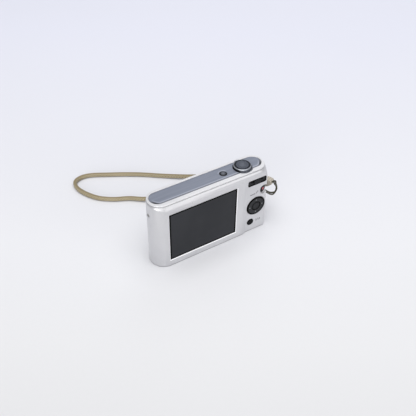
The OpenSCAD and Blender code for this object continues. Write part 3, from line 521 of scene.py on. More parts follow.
def makeThinCord(s):
    r = s["barRadius"] + s["thick"] / 2 + s["gap"]
    halfTurn = [math.radians(-90 - 22.5 * k) for k in range(9)]
    turn = [(s["barX"] + r * math.cos(w), s["barY"] + r * math.sin(w), s["eyeZ"]) for w in halfTurn]
    aside = (tabAcross * s["spread"] + tabUp * s["rise"]) * mm
    a, b = tabStart + aside, tabStart - aside
    lead = tabAlong * s["lead"] * mm
    stops = [point(*p) for p in s["ring"][::-1] + turn + s["back"]]
    line = spline([b, b - lead] + stops + [a - lead, a], s["steps"])
    finish["cord"] = webbing("cordBraid", s)
    piece, length = sweepTube("strapCord", line, s["thick"] * mm, s["thick"] * mm, 1.0, (-tabAlong, tabAlong), 18)
    place(piece, "camera_body", "cord", "cord_olive", "strap_cord")
    print("stage: thin cord, %.0f mm long" % (length / mm))


makeThinCord(thinCord)


# repeated things: one shape set on marked spots by geometry nodes
def scatterTree():
    tree = bpy.data.node_groups.new("scatter", "GeometryNodeTree")
    for name, way, kind in (("Geometry", "INPUT", "NodeSocketGeometry"), ("Shape", "INPUT", "NodeSocketObject"),
                            ("Grow", "INPUT", "NodeSocketFloat"), ("Look", "INPUT", "NodeSocketMaterial"),
                            ("Geometry", "OUTPUT", "NodeSocketGeometry")):
        tree.interface.new_socket(name, in_out=way, socket_type=kind)
    made = {key: tree.nodes.new(kind) for key, kind in {
        "start": "NodeGroupInput", "turn": "GeometryNodeInputNamedAttribute", "euler": "FunctionNodeEulerToRotation",
        "shape": "GeometryNodeObjectInfo", "put": "GeometryNodeInstanceOnPoints",
        "real": "GeometryNodeRealizeInstances", "coat": "GeometryNodeSetMaterial", "end": "NodeGroupOutput"}.items()}
    made["turn"].data_type = "FLOAT_VECTOR"
    made["turn"].inputs["Name"].default_value = "turn"
    for a, out, b, spot in (
            ("start", "Geometry", "put", "Points"), ("start", "Shape", "shape", "Object"),
            ("shape", "Geometry", "put", "Instance"), ("turn", "Attribute", "euler", "Euler"),
            ("euler", "Rotation", "put", "Rotation"), ("start", "Grow", "put", "Scale"),
            ("put", "Instances", "real", "Geometry"), ("real", "Geometry", "coat", "Geometry"),
            ("start", "Look", "coat", "Material"), ("coat", "Geometry", "end", "Geometry")):
        tree.links.new(made[a].outputs[out], made[b].inputs[spot])
    return tree


scatterNodes = scatterTree()


def scatter(name, shape, spots, look):  # spots are (place, turn) pairs
    data = bpy.data.meshes.new(name + "Spots")
    data.from_pydata([p for p, t in spots], [], [])
    data.attributes.new("turn", "FLOAT_VECTOR", "POINT").data.foreach_set("vector", [x for p, t in spots for x in t])
    host = linked(name + "Spots", data)
    tool = host.modifiers.new("scatter", "NODES")
    tool.node_group = scatterNodes
    values = {"Shape": shape, "Grow": 1.0, "Look": finish[look]}
    for item in scatterNodes.interface.items_tree:
        if item.in_out == "INPUT" and item.name in values:
            tool[item.identifier] = values[item.name]
    bpy.context.view_layer.update()
    baked = bpy.data.meshes.new_from_object(host.evaluated_get(bpy.context.evaluated_depsgraph_get()))
    host.modifiers.remove(tool)
    for gone in (host, shape):
        bpy.data.objects.remove(gone)
    return smoothed(name, baked)


# strap tab: folded webbing with stitches across it
tab = {
    "half": 2.5, "bevel": 0.55, "light": (0.60, 0.55, 0.475), "dark": (0.33, 0.30, 0.25),
    "outline": [(0, -1.3), (1, -2), (4.5, -3.4), (13.4, -3.4), (13.4, 3.4), (4.5, 3.4), (1, 2), (0, 1.3)],
    "stitchRows": ((3.4, 2), (11.6, 3)), "stitchPitch": 0.95, "thread": (0.40, 0.08), "sunk": 0.06,
    "rib": 0.7, "pick": 0.8,
}


def makeTab(s):
    f = Finish("tabWebbing")
    x, y, z = (f.spot.part(k) for k in range(3))
    rib = (x * tabUp.x + y * tabUp.y + z * tabUp.z).ripple(s["rib"])
    pick = (x * tabAlong.x + y * tabAlong.y + z * tabAlong.z).ripple(s["pick"])
    weave = (rib * pick) * 0.5 + 0.5
    fuzz, cloud = f.spot.noise(2600.0, 3.0), f.spot.noise(220.0, 3.0)
    shade = (weave * 0.45 + fuzz * 0.3 + cloud * 0.35).band(0.3, 0.85)
    finish["tab"] = f.surface(weave + fuzz * 0.4, 0.00013, Base_Color=shade.tint(s["dark"], s["light"]),
                              Roughness=0.9 - fuzz * 0.1, Sheen_Weight=0.25, Specular_IOR_Level=0.2)
    finish["thread"] = moulded("tabThread", (0.52, 0.48, 0.38), (0.40, 0.36, 0.28), 0.8, edge=0.0)
    turn = Matrix((tabAlong, tabUp, -tabAcross)).transposed().to_4x4()
    where = Matrix.Translation(tabStart + tabAcross * s["half"] * mm) @ turn
    piece = prism("strapTab", s["outline"], s["half"] * 2, where, s["bevel"], 4)
    place(piece, "camera_body", "tab", "tab_beige", "strap_tab")
    length, radius = s["thread"]
    stitch = lathe("stitch", [(0, -length), (radius * 0.8, -length * 0.8), (radius, 0), (radius * 0.8, length * 0.8),
                              (0, length)], Matrix.Identity(4), 8)
    lean, spots = tuple(tabUp.to_track_quat("Z", "Y").to_euler()), []
    for along, reach in s["stitchRows"]:
        for k in range(-reach, reach + 1):
            for side in (-1, 1):
                out = tabAcross * side * (s["half"] - s["sunk"])
                spots.append((tabStart + (tabAlong * along + out + tabUp * k * s["stitchPitch"]) * mm, lean))
    stitches = scatter("tabStitches", stitch, spots, "thread")
    place(stitches, "camera_body", "thread", "tab_beige")


makeTab(tab)


# covers: copies of the moulded parts with softened outer edges
moulding = {"straight": 38.0, "rim": 9.2, "proud": 0.003, "footSegments": 4, "segments": 3}


def softened(name, node, width, foot, limit):
    bm = bmesh.new()
    bm.from_mesh(nodes[node].data)
    bmesh.ops.remove_doubles(bm, verts=bm.verts[:], dist=1e-6)
    bmesh.ops.dissolve_limit(bm, angle_limit=math.radians(0.5), verts=bm.verts[:], edges=bm.edges[:])
    if foot:  # the outline that stands on the floor is rounder
        def atRim(v):
            beyond = max(abs(v.co.x) - moulding["straight"] * mm, 0.0)
            return abs(v.co.z) < 0.01 * mm and math.hypot(beyond, v.co.y) > moulding["rim"] * mm

        base = [e for e in bm.edges if len(e.link_faces) == 2 and all(atRim(v) for v in e.verts)]
        bmesh.ops.bevel(bm, geom=base, offset=foot * mm, segments=moulding["footSegments"], profile=0.5,
                        affect="EDGES", clamp_overlap=False)
    solid = BVHTree.FromBMesh(bm)
    outer = []
    for edge in bm.edges:
        if len(edge.link_faces) == 2 and edge.is_convex and edge.calc_face_angle() > math.radians(limit):
            way = (edge.link_faces[0].normal + edge.link_faces[1].normal).normalized()
            middle = (edge.verts[0].co + edge.verts[1].co) / 2
            if solid.ray_cast(middle + way * 0.00002, way)[0] is None:
                outer.append(edge)
    bmesh.ops.bevel(bm, geom=outer, offset=width * mm, segments=moulding["segments"], profile=0.5,
                    affect="EDGES", clamp_overlap=False)
    for v in bm.verts:  # a corner that the bevel pushed out goes back to the moulding
        near, way = solid.find_nearest(v.co)[:2]
        if (v.co - near).dot(way) > moulding["proud"] * mm:
            v.co = near
    return toObject(name, bm, 16.0)


# the groove colour is painted shade and the edge colour a painted highlight
inlay = {
    "left": -39.0, "right": 39.5, "y": 1.2, "radius": 6.4, "ringRadius": 7.65,
    "light": (0.25, 0.272, 0.333), "dark": (0.20, 0.22, 0.274), "grooveShade": (0.03, 0.032, 0.04),
    "edge": (0.42, 0.445, 0.52), "endReach": 4.0, "endSink": 0.5, "nearSide": (-4.0, 1.0), "grooveIn": (-1.0, -0.75),
    "edgeIn": (-2.1, -1.7), "arcIn": (3.0, 3.2), "arcOut": (3.6, 4.2), "arcBack": (0.5, 2.5),
}


def inlayLook(s):
    f = Finish("inlayMetal")
    x, y = f.spot.part(0), f.spot.part(1)
    beyond = x - x.most(s["left"] * mm).least(s["right"] * mm)
    side = y - s["y"] * mm
    outline = (beyond * beyond + side * side) ** 0.5 - s["radius"] * mm
    rim = outline.least(f.spot.away(*ringAt, "xy") - s["ringRadius"] * mm)
    # painted shade in a groove along the inlay's near edge, deeper at its ends, with a painted highlight on the chamfer
    # just inside it
    ends = (beyond.size() / (s["endReach"] * mm)).band(0.2, 1.0)
    near = 1.0 - side.fade(*s["nearSide"])
    border = rim + ends * s["endSink"] * mm
    grooveShade = border.fade(*s["grooveIn"]) * near
    edge = border.fade(*s["edgeIn"]) * near
    hair = f.spot.stretch(30.0, 520.0, 520.0).noise(1.0, 4.0, 0.6)
    speck, cloud = f.spot.noise(2600.0, 2.0), f.spot.noise(60.0, 3.0)
    tone = (hair * 0.5 + speck * 0.3 + cloud * 0.2).band(0.3, 0.7).tint(s["dark"], s["light"])
    dish = f.spot.away(*powerAt, "xy")  # a painted highlight arc behind the power button, for light off the far wall of its dish
    arcGlint = dish.fade(*s["arcIn"]) * (1.0 - dish.fade(*s["arcOut"]))
    tone = (arcGlint * (y - powerAt[1] * mm).fade(*s["arcBack"]) * 0.6).tint(tone, s["edge"])
    tone = (grooveShade * (0.6 + ends * 0.4)).tint((edge * 0.7).tint(tone, s["edge"]), s["grooveShade"])
    return f.surface(speck, fineBump, fineEdge, Base_Color=tone, Metallic=0.5 - grooveShade * 0.4,
                     Roughness=0.5 + (cloud - 0.5) * 0.12 + (speck - 0.5) * 0.1)


finish["inlay"] = inlayLook(inlay)
covers = [
    {"name": "rearShell", "node": "rear_cover", "width": 0.18, "foot": 0.55, "limit": 47.0},
    {"name": "frontShell", "node": "front_cover", "width": 0.18, "foot": 0.55},
    {"name": "topShell", "node": "top_cover", "width": 0.22, "look": "roof", "slot": "white_silver"},
    {"name": "topInlay", "node": "top_panel", "width": 0.22, "look": "inlay", "slot": "slate_metal"},
    {"name": "doorPlate", "node": "battery_door", "width": 0.12, "body": "door"},
]
for s in covers:
    piece = softened(s["name"], s["node"], s["width"], s.get("foot", 0.0), s.get("limit", 30.0))
    place(piece, s.get("body", "camera_body"), s.get("look", "shell"), s.get("slot", "silver_paint"), s["node"])
print("stage: covers softened")

# rear screen: black border round a charcoal face
screen = {"border": 1.15, "soft": 0.15, "face": (0.038, 0.0395, 0.044), "rim": (0.0015, 0.0015, 0.0018)}


def screenLook(s):
    f = Finish("screenGlass")
    border = f.fromWindow().fade(-s["border"] - s["soft"], -s["border"] + s["soft"])
    cloud, smear = f.spot.noise(30.0, 3.0), f.spot.stretch(1.0, 1.0, 0.5).noise(120.0, 5.0)
    face = cloud.band(0.3, 0.7).tint(dim(s["face"], 0.85), s["face"])
    return f.surface(smear, 0.0000008, tightEdge, Base_Color=border.tint(face, s["rim"]), Specular_IOR_Level=0.05,
                     Roughness=smear * 0.08 + 0.1 - border * 0.03)


finish["screen"] = screenLook(screen)
dress("screen", "screen_window")
print("stage: screen dressed")

# rear controls
panelY = -9.8
pad = {
    "x": 37.0, "z": 23.4, "rim": (0.002, 0.0021, 0.0023), "face": (0.040, 0.041, 0.044),
    "dishIn": (3.8, 4.2), "dishOut": (6.7, 7.0), "mark": 0.6, "markAt": 5.6, "markThick": 0.05, "markY": panelY - 0.31,
    "profile": [(3.15, -0.9), (8.05, -0.9), (8.05, 0.36, 0.2), (7.5, 0.55, 0.25), (6.9, 0.5, 0.3), (5.5, 0.26, 0.8),
                (4.1, 0.5, 0.2), (3.15, 0.5, 0.15)],
}


def makePad(s):
    f = Finish("padPlastic")
    reach = f.spot.away(s["x"], 0, s["z"], "xz")
    dish = reach.fade(*s["dishIn"]) - reach.fade(*s["dishOut"])
    grain, cloud, tone = f.speckled(s["face"], 0.75, 0.4, 3000.0, 150.0)
    finish["pad"] = f.surface(grain, fineBump, tightEdge, Base_Color=dish.tint(s["rim"], tone),
                              Roughness=0.4 + dish * 0.1 + (cloud - 0.5) * 0.1, Specular_IOR_Level=0.05)
    where = facing("rear", s["x"], panelY, s["z"])
    piece = lathe("controlPad", s["profile"], where, 96, True)
    place(piece, "pad", "pad", "button_black", "control_pad")
    m = s["mark"]
    mark = prism("padMark", [(m, 0.0), (-m * 0.6, m * 0.85), (-m * 0.6, -m * 0.85)], s["markThick"],
                 Matrix.Rotation(math.radians(90), 4, "X"))
    spots = []
    for w in around(4):
        across, up = s["markAt"] * math.cos(w), s["markAt"] * math.sin(w)
        spots.append((point(s["x"] + across, s["markY"], s["z"] + up), (0, -w, 0)))
    marks = scatter("padMarks", mark, spots, "paleMark")
    place(marks, "pad", "paleMark", "button_black")


makePad(pad)

keys = [
    {"name": "okButton", "node": "ok_button", "body": "ok", "look": "okFace", "at": (pad["x"], panelY, pad["z"]),
     "profile": [(0, -0.8), (2.95, -0.8), (2.95, 0.45, 0.2), (2.55, 0.7, 0.25), (2.1, 0.62, 0.3), (0, 0.55)]},
    {"name": "menuButton", "node": "menu_button", "body": "menu", "look": "button", "at": (32.8, panelY, 8.8),
     "profile": [(0, -1.5), (2.8, -1.5), (2.8, 0.2, 0.2), (2.3, 0.4, 0.4), (0, 0.36)]},
]
for s in keys:
    piece = lathe(s["name"], s["profile"], facing("rear", *s["at"]), 64)
    place(piece, s["body"], s["look"], "button_black", s["node"])

movie = {
    "tilt": 20.0, "red": (0.46, 0.04, 0.055), "rim": (0.03, 0.008, 0.01), "rimOut": (1.05, 1.2),
    "button": [(0, -1.9), (2.85, -1.9), (2.85, 0.1, 0.2), (2.35, 0.35, 0.3), (1.5, 0.33, 0.1), (1.32, 0.16), (0, 0.16)],
    "dot": [(0, 0.15), (1.28, 0.15), (1.28, 0.27, 0.1), (0, 0.35)],
}


def dotLook(s):
    f = Finish("redDot")
    grain, cloud, red = f.speckled(s["red"], 0.8, 0.4, 2600.0, 400.0)
    rim = f.spot.away(*movieAt, "xyz").fade(*s["rimOut"])
    return f.surface(grain, fineBump, tightEdge, Base_Color=rim.tint(red, s["rim"]), Coat_Weight=0.3,
                     Roughness=0.3 + (cloud - 0.5) * 0.1)


movieWhere = (Matrix.Translation(point(*movieAt)) @ Matrix.Rotation(math.radians(movie["tilt"]), 4, "Z")
              @ Matrix.Rotation(math.radians(90), 4, "X"))
place(lathe("movieButton", movie["button"], movieWhere, 64), "movie", "button", "button_black", "movie_button")
finish["dot"] = dotLook(movie)
place(lathe("movieDot", movie["dot"], movieWhere, 48), "movie", "dot", "red_dot", "movie_dot")
print("stage: rear controls made")

# top controls
shutter = {
    "light": (0.14, 0.155, 0.19), "dark": (0.05, 0.057, 0.072), "middle": (0.23, 0.245, 0.285),
    "rim": (0.035, 0.04, 0.052), "pitch": 0.42, "middleOut": (0.6, 3.8), "rimOut": (4.5, 4.8),
    "profile": [(0, -4.2), (1.6, -4.2), (1.6, 0.8), (5.4, 0.8), (5.4, 1.8, 0.2), (5.0, 2.1, 0.2), (4.4, 1.98, 0.3),
                (0, 1.8)],
}


def spunLook(s):
    f = Finish("spunDisc")
    reach, rings, speck, cloud = f.turned(ringAt, "xy", s["pitch"])
    tone = (rings * 0.5 + speck * 0.2 + cloud * 0.3).band(0.2, 0.8).tint(s["dark"], s["light"])
    # lighter towards the middle, as a painted sheen in place of the spun highlights; darker at the disc's edge
    middle = 1.0 - reach.fade(*s["middleOut"])
    tone = reach.fade(*s["rimOut"]).tint((middle * 0.35).tint(tone, s["middle"]), s["rim"])
    return f.surface(rings, 0.00004, fineEdge, Base_Color=tone, Metallic=0.8,
                     Roughness=0.34 + (rings - 0.5) * 0.1 + (cloud - 0.5) * 0.12)


finish["spun"] = spunLook(shutter)
disc = lathe("shutterDisc", shutter["profile"], facing("top", *ringAt), 96)
place(disc, "shutter", "spun", "slate_button", "shutter_button")

zoom = {
    "rim": (0.52, 0.545, 0.59), "side": (0.02, 0.021, 0.025), "nearSide": (0.25, 0.265, 0.31),
    "soil": (0.03, 0.032, 0.036), "pitch": 0.2, "crownUp": (1.2, 1.3), "crownOut": (6.0, 6.1), "baseOut": (6.7, 6.8),
    "nearBy": (3.4, 6.0),
    "profile": [(5.6, 0.0), (5.6, 1.85, 0.12), (6.05, 1.85, 0.1), (6.6, 1.35, 0.1), (6.5, 1.2), (6.5, 0.3),
                (6.65, 0.15, 0.05), (6.65, -0.6, 0.1), (4.3, -0.6), (4.3, -3.2), (1.9, -3.2), (1.9, 0.0)],
    "ridges": 72, "radius": 6.5, "low": 0.35, "high": 1.15, "tabClear": 20.0,
    "ridge": [(-0.14, 0), (0.14, 0), (0.06, 0.14), (-0.06, 0.14)],
    "tab": [(5.7, 0.32), (8.25, 0.32), (8.25, 0.6), (6.45, 1.85), (5.7, 1.85)], "tabHalf": 1.6, "tabBevel": 0.14,
}


def makeZoom(s):
    x, y, z = ringAt
    f = Finish("ringMetal")
    reach, spun, speck, cloud = f.turned(ringAt, "xy", s["pitch"])
    # painted highlight on the rim's top chamfer and on the tab beyond the ring; painted shade on the rest, near-black
    # except on the near side
    crown = (f.spot.part(2) - z * mm).fade(*s["crownUp"]) * reach.fade(*s["crownOut"])
    bright = crown.most(reach.fade(*s["baseOut"]))
    tone = (spun * 0.4 + speck * 0.3 + cloud * 0.3).band(0.2, 0.8)
    side = (y * mm - f.spot.part(1)).fade(*s["nearBy"]).tint(s["side"], s["nearSide"])
    metal = (tone * 0.25).tint(bright.tint(side, s["rim"]), s["soil"])
    finish["ring"] = f.surface(spun, fineBump, fineEdge, Base_Color=metal, Metallic=0.7,
                               Roughness=0.3 + (cloud - 0.5) * 0.12)
    piece = lathe("zoomRing", s["profile"], facing("top", *ringAt), 96, True)
    place(piece, "zoom", "ring", "ring_metal", "zoom_lever")
    ridge = prism("ridge", s["ridge"], s["high"] - s["low"], Matrix.Identity(4))
    spots = []
    for w in around(s["ridges"]):
        if abs(math.degrees(w) - 90) > s["tabClear"]:
            at = point(x + s["radius"] * math.cos(w), y + s["radius"] * math.sin(w), z + s["low"])
            spots.append((at, (0, 0, w - math.pi / 2)))
    place(scatter("zoomRidges", ridge, spots, "ring"), "zoom", "ring", "ring_metal")
    side = Matrix(((0, 0, 1), (1, 0, 0), (0, 1, 0))).to_4x4()
    where = Matrix.Translation(point(x - s["tabHalf"], y, z)) @ side
    grip = prism("zoomTab", s["tab"], s["tabHalf"] * 2, where, s["tabBevel"])
    place(grip, "zoom", "ring", "ring_metal")


makeZoom(zoom)

power = {
    "face": (0.08, 0.086, 0.108), "middle": (0.145, 0.153, 0.18), "rim": (0.010, 0.0105, 0.013),
    "middleOut": (0.4, 1.4), "rimOut": (1.7, 1.95),
    "profile": [(0, -0.9), (2.65, -0.9), (2.65, 0.0, 0.15), (2.1, 0.2, 0.2), (1.75, 0.08, 0.2), (0, 0.03)],
}


def makePower(s):
    f = Finish("powerButton")
    reach = f.spot.away(*powerAt, "xy")
    grain, cloud, face = f.speckled(s["face"], 0.8, 0.5, 2600.0, 200.0)
    face = (1.0 - reach.fade(*s["middleOut"])).tint(face, s["middle"])
    face = reach.fade(*s["rimOut"]).tint(face, s["rim"])
    finish["power"] = f.surface(grain, fineBump, tightEdge, Base_Color=face, Metallic=0.4,
                                Roughness=0.4 + (cloud - 0.5) * 0.12)
    piece = lathe("powerButton", s["profile"], facing("top", *powerAt))
    place(piece, "power", "power", "slate_button", "power_button")


makePower(power)
print("stage: top controls made")

# lens group, flash and lamp on the front
lens = {
    "x": -7.6, "z": 27.5, "barrel": (0.30, 0.31, 0.33), "barrelDark": (0.20, 0.207, 0.22),
    "trim": [(17.2, 9.65), (19.95, 9.65), (19.95, 10.85), (21.0, 10.85, 0.05), (21.0, 11.5, 0.25), (20.2, 12.35, 0.3),
             (18.1, 12.35, 0.3), (17.2, 11.4, 0.2)],
    "outer": [(15.8, -2.0), (16.8, -2.0), (16.8, 6.2), (16.66, 6.3), (16.66, 6.9), (16.8, 7.0), (16.8, 10.9, 0.2),
              (15.8, 10.9, 0.1)],
    "inner": [(14.5, -1.0), (15.5, -1.0), (15.5, 11.6, 0.35), (14.3, 11.6, 0.05), (14.15, 11.45), (13.75, 11.45),
              (13.6, 11.6, 0.05), (8.4, 11.6, 0.2), (7.9, 11.25, 0.1), (7.4, 11.25, 0.1), (5.3, 10.75, 0.05),
              (5.2, 10.6), (14.5, 10.6), (14.5, 9.5), (7.5, 9.5), (7.5, 8.2), (9.6, 8.2), (9.6, 4.7), (14.5, 4.7)],
    "coating": ((0.012, 0.010, 0.022), (0.006, 0.016, 0.018)), "coatOut": (1.0, 9.0),
}


def makeLens(s):
    centre = (s["x"], 0, s["z"])
    finish["trim"] = turnedMetal("trimRing", (0.66, 0.67, 0.69), (0.52, 0.53, 0.55), 0.3, centre, "xz", 0.3)
    finish["barrel"] = turnedMetal("barrelMetal", s["barrel"], s["barrelDark"], 0.38, centre, "xz", 0.35, 0.8)
    finish["blade"] = brushedMetal("bladeBlack", (0.05, 0.052, 0.056), (0.03, 0.031, 0.034), 0.42, "x", metal=0.6)
    where = facing("front", s["x"], 0.0, s["z"])
    place(lathe("lensTrim", s["trim"], where, 128, True), "camera_body", "trim", "ring_metal", "lens_trim")
    place(lathe("barrelOuter", s["outer"], where, 128, True), "outer_stage", "barrel", "barrel_metal", "barrel_outer")
    place(lathe("barrelInner", s["inner"], where, 128, True), "inner_stage", "barrel", "barrel_metal", "barrel_inner")
    dress("blade", "blade_upper", "blade_lower")
    f = Finish("lensGlass")
    tone = f.spot.away(*centre, "xz").fade(*s["coatOut"]).tint(*s["coating"])
    finish["glass"] = f.surface(Base_Color=tone, Roughness=0.03 + f.spot.noise(90.0, 2.0) * 0.03, Coat_Weight=1.0,
                                Coat_Roughness=0.02, Coat_Tint=(0.75, 0.8, 1.0))
    dress("glass", "front_lens")


makeLens(lens)

flash = {
    "x": 22.5, "z": 45.2, "half": (6.4, 3.1), "pitch": 0.55, "pale": (0.80, 0.82, 0.84), "shade": (0.42, 0.44, 0.47),
}


def flashLook(s):
    f = Finish("flashPrism")
    rib = f.spot.part(2).ripple(s["pitch"]) * 0.5 + 0.5
    across = (f.spot.part(0) - s["x"] * mm).size() / (s["half"][0] * mm)
    hollow = across.most((f.spot.part(2) - s["z"] * mm).size() / (s["half"][1] * mm))
    # painted shade, darker towards the window's edges, for the reflector behind it
    tone = (hollow.band(0.35, 1.0) * 0.7 + rib * 0.2).tint(s["pale"], s["shade"])
    return f.surface(rib, 0.00006, tightEdge, Base_Color=tone, Roughness=0.12 + rib * 0.1, Coat_Weight=0.6,
                     Metallic=0.25)


finish["flash"] = flashLook(flash)
finish["amber"] = moulded("amberLamp", (0.62, 0.34, 0.10), (0.45, 0.22, 0.05), 0.12, coat=0.8, grain=900.0)
dress("flash", "flash_window")
dress("amber", "focus_lamp")
print("stage: front made")

# fasteners and the threaded bush
screws = {
    "spots": [((-39.0, -1.5, 0.1), (math.pi, 0, 0.4)), ((8.5, -2.6, 0.1), (math.pi, 0, 1.1)),
              ((-47.6, 0.0, 45.0), (0, -math.pi / 2, 0.3))],
    "radius": 1.38, "crown": (0.9, 0.12), "depth": 0.3, "slot": (0.85, 0.16), "taper": 0.75, "height": 0.7, "steps": 48,
}


def makeScrews(s):
    bm = bmesh.new()
    a, b = s["slot"]
    cross = [(a, b), (b, b), (b, a), (-b, a), (-b, b), (-a, b), (-a, -b), (-b, -b), (-b, -a), (b, -a), (b, -b), (a, -b)]
    inset, drop = s["crown"]
    rim = ringOf(bm, s["radius"], -drop, s["steps"])
    edge = ringOf(bm, s["radius"] * inset, 0.0, s["steps"])
    foot = ringOf(bm, s["radius"], -s["height"], s["steps"])
    inner = [bm.verts.new(point(x, y, 0.0)) for x, y in cross]
    floor = [bm.verts.new(point(x * s["taper"], y * s["taper"], -s["depth"])) for x, y in cross]
    for low, high in ((foot, rim), (rim, edge), (inner, floor)):
        bridge(bm, low, high)
    bm.faces.new(list(reversed(foot)))
    bm.faces.new(floor)
    loops = []
    for ring in (edge, inner):
        loops += [bm.edges.get((ring[k], ring[(k + 1) % len(ring)])) for k in range(len(ring))]
    bmesh.ops.triangle_fill(bm, edges=loops, use_beauty=True)
    head = toSolid("screwHead", bm)
    spots = [(point(*p), t) for p, t in s["spots"]]
    place(scatter("coverScrews", head, spots, "screw"), "camera_body", "screw", "screw_steel", "cover_screws")


makeScrews(screws)

socket = {
    "x": -7.6, "y": 0.5, "bush": 4.5, "root": 2.95, "crest": 2.55, "pitch": 1.27, "depth": 5.6, "top": 6.4,
    "lip": 0.3, "chamfer": 0.35, "fade": 0.6, "steps": 48, "rowsPerTurn": 16,
}


def makeSocket(s):
    bm, steps = bmesh.new(), s["steps"]

    def wall(w, z):  # radius of the thread, which fades out at both ends
        phase = (z / s["pitch"] - w / (2 * math.pi)) % 1.0
        ends = min(1.0, max(0.0, (z - 0.5) / s["fade"])) * min(1.0, max(0.0, (s["depth"] - 0.3 - z) / s["fade"]))
        return s["crest"] + (s["root"] - s["crest"]) * abs(2 * phase - 1) * ends + max(0.0, s["chamfer"] - z)

    count = int(s["depth"] / s["pitch"] * s["rowsPerTurn"])
    rows = [ringOf(bm, r, z, steps) for r, z in (
        (s["bush"], s["top"]), (s["bush"], s["lip"]), (s["bush"] - s["lip"], 0.0), (s["crest"] + s["chamfer"], 0.0))]
    for z in [s["depth"] * k / count for k in range(count + 1)]:
        rows.append([bm.verts.new(point(wall(w, z) * math.cos(w), wall(w, z) * math.sin(w), z)) for w in around(steps)])
    for low, high in zip(rows, rows[1:]):
        bridge(bm, low, high)
    bm.faces.new(rows[0])
    bm.faces.new(rows[-1])
    piece = toSolid("tripodBush", bm, Matrix.Translation(point(s["x"], s["y"], 0.0)), 40.0)
    place(piece, "camera_body", "nickel", "nickel", "tripod_socket")


makeSocket(socket)

# plain printed marks on the control panel
prints = {
    "thick": 0.03,
    "bars": [(32.0, 35.2, 1.2, 0.8), (33.6, 35.3, 1.2, 0.8), (35.2, 35.4, 1.2, 0.8), (36.8, 36.0, 0.5, 1.5),
             (38.0, 36.6, 0.5, 1.5), (38.2, 9.2, 1.1, 0.6), (39.8, 9.2, 1.1, 0.6), (41.4, 9.2, 1.1, 0.6),
             (38.6, 8.1, 1.8, 0.5), (41.2, 8.1, 1.8, 0.5)],
}


def makePrints(s):
    bm = bmesh.new()
    for x, z, wide, high in s["bars"]:
        made = bmesh.ops.create_cube(bm, size=1.0)["verts"]
        bmesh.ops.scale(bm, vec=point(wide, s["thick"], high), verts=made)
        bmesh.ops.translate(bm, vec=point(x, panelY, z), verts=made)
    place(toObject("panelMarks", bm), "camera_body", "print", "silver_paint")


makePrints(prints)
print("stage: fasteners and marks made")


# everything else keeps its part mesh
def boardLook(name, light, dark):
    f = Finish(name)
    trace = ((f.spot.part(0) * 2600.0).wave() * (f.spot.part(2) * 1900.0).wave()).band(0.1, 0.3)
    cloud, speck = f.spot.noise(300.0, 3.0), f.spot.noise(1800.0, 2.0)
    return f.surface(trace, 0.00001, Base_Color=(trace * 0.5 + speck * 0.3).tint(dark, light),
                     Roughness=0.4 + cloud * 0.15)


slot = {"rim": (0.004, 0.004, 0.0045), "bed": (0.048, 0.049, 0.053), "bedY": -9.2, "sunk": (0.0, 0.4)}


def slotLook(s):
    f = Finish("slotPlate")
    grain, cloud, bed = f.speckled(s["bed"], 0.75, 0.5, 2600.0, 160.0)
    # near-black painted shade on the plate at the slot's rim; the sunk bed is painted lighter, as painted fill light
    deep = (f.spot.part(1) - s["bedY"] * mm).fade(*s["sunk"])
    return f.surface(grain, fineBump, tightEdge, Base_Color=deep.tint(s["rim"], bed), Specular_IOR_Level=0.05,
                     Roughness=0.42 + (cloud - 0.5) * 0.1)


finish["board"] = boardLook("circuitBoard", (0.035, 0.16, 0.085), (0.018, 0.085, 0.045))
dress("can", "screen_module", "card_slot", "key_domes")
dress("steel", "chassis_frame", "strap_bar", "door_hinge_pin", "lever_washer")
dress("board", "main_board", "key_board", "top_board")
dress("dark", "board_chips", "lens_tube", "zoom_gearbox", "battery_holder", "flash_capacitor", "image_sensor")
dress("grey", "cam_ring", "pad_pivot", "movie_switch", "top_switches")
finish["slot"] = slotLook(slot)
dress("slot", "mode_switch_plate")
dress("okFace", "mode_slider")
dress("white", "flash_unit", "flash_tube")
dress("wrap", "battery")
dress("gold", "battery_contacts")
dress("orange", "battery_catch")
dress("cardBlue", "memory_card")
dress("paleGrey", "door_latch")
print("stage: inner parts dressed")
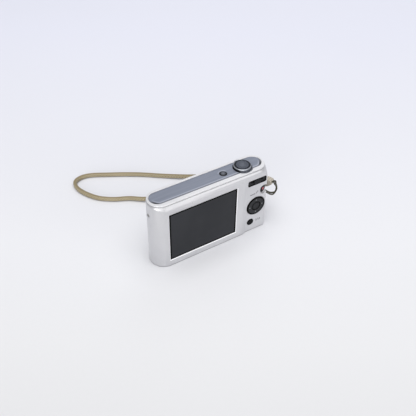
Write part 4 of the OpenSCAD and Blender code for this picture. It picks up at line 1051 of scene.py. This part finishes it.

# floor and light
# the paper colours paint a light falloff on the floor: darker at the front, lighter and bluer towards the back
studio = {
    "paperLightFalloff": [(0.0, (0.60, 0.603, 0.612)), (0.26, (0.70, 0.706, 0.722)), (0.42, (0.73, 0.738, 0.768)),
              (1.0, (0.73, 0.744, 0.83))],
    "heading": (0.5418, 0.8406), "start": -0.26, "span": 0.61, "fleck": (0.3, 0.3, 0.3), "reach": 3.0,
    "sky": (0.93, 0.95, 1.0), "skyPower": 0.33,
    "lamps": [{"at": (-0.1, -0.2, 1.9), "size": 2.2, "power": 34.0, "colour": (1.0, 0.985, 0.97)},
              {"at": (0.9, 0.9, 1.1), "size": 1.2, "power": 3.0, "colour": (0.97, 0.98, 1.0)},
              {"at": (0.75, -1.7, 0.45), "size": 1.5, "power": 7.5, "colour": (1.0, 0.99, 0.985)},
              {"at": (-0.7, -1.7, 0.52), "size": 1.1, "power": 4.5, "colour": (1.0, 0.99, 0.985)},
              {"at": (-1.47, -1.1, 0.52), "size": 1.1, "power": 9.5, "colour": (1.0, 0.99, 0.985)}],
}


def makeStudio(s):
    f = Finish("paperFloor")
    cloud, speck = f.spot.noise(2.2, 3.0), f.spot.noise(400.0, 2.0)
    depth = f.spot.part(0) * s["heading"][0] + f.spot.part(1) * s["heading"][1]  # front to back of the sheet, along which a light falloff is painted
    paperLightFalloff = depth.node("ShaderNodeValToRGB", {"stops": s["paperLightFalloff"]}, Fac=(depth - s["start"]) / s["span"])
    fleck = (1.0 - (cloud * 0.7 + speck * 0.3).band(0.3, 0.7)) * 0.03
    look = f.surface(speck, 0.00002, Base_Color=fleck.tint(paperLightFalloff, s["fleck"]),
                     Roughness=0.85 + (cloud - 0.5) * 0.1, Specular_IOR_Level=0.2)
    bm = bmesh.new()
    bmesh.ops.create_grid(bm, x_segments=1, y_segments=1, size=s["reach"])
    floor = toObject("studioFloor", bm)
    floor.data.materials.append(look)
    world = bpy.data.worlds.new("studioSky")
    world.use_nodes = True
    back = world.node_tree.nodes["Background"]
    back.inputs["Color"].default_value = (*s["sky"], 1.0)
    back.inputs["Strength"].default_value = s["skyPower"]
    bpy.context.scene.world = world
    for k, lamp in enumerate(s["lamps"]):
        data = bpy.data.lights.new("softLamp%d" % k, "AREA")
        data.shape, data.size, data.energy, data.color = "DISK", lamp["size"], lamp["power"], lamp["colour"]
        obj = linked("softLamp%d" % k, data)
        obj.location = lamp["at"]
        obj.rotation_euler = (-Vector(lamp["at"])).to_track_quat("-Z", "Y").to_euler()
    bpy.context.scene.view_settings.view_transform = "Standard"


makeStudio(studio)
print("stage: studio lit")
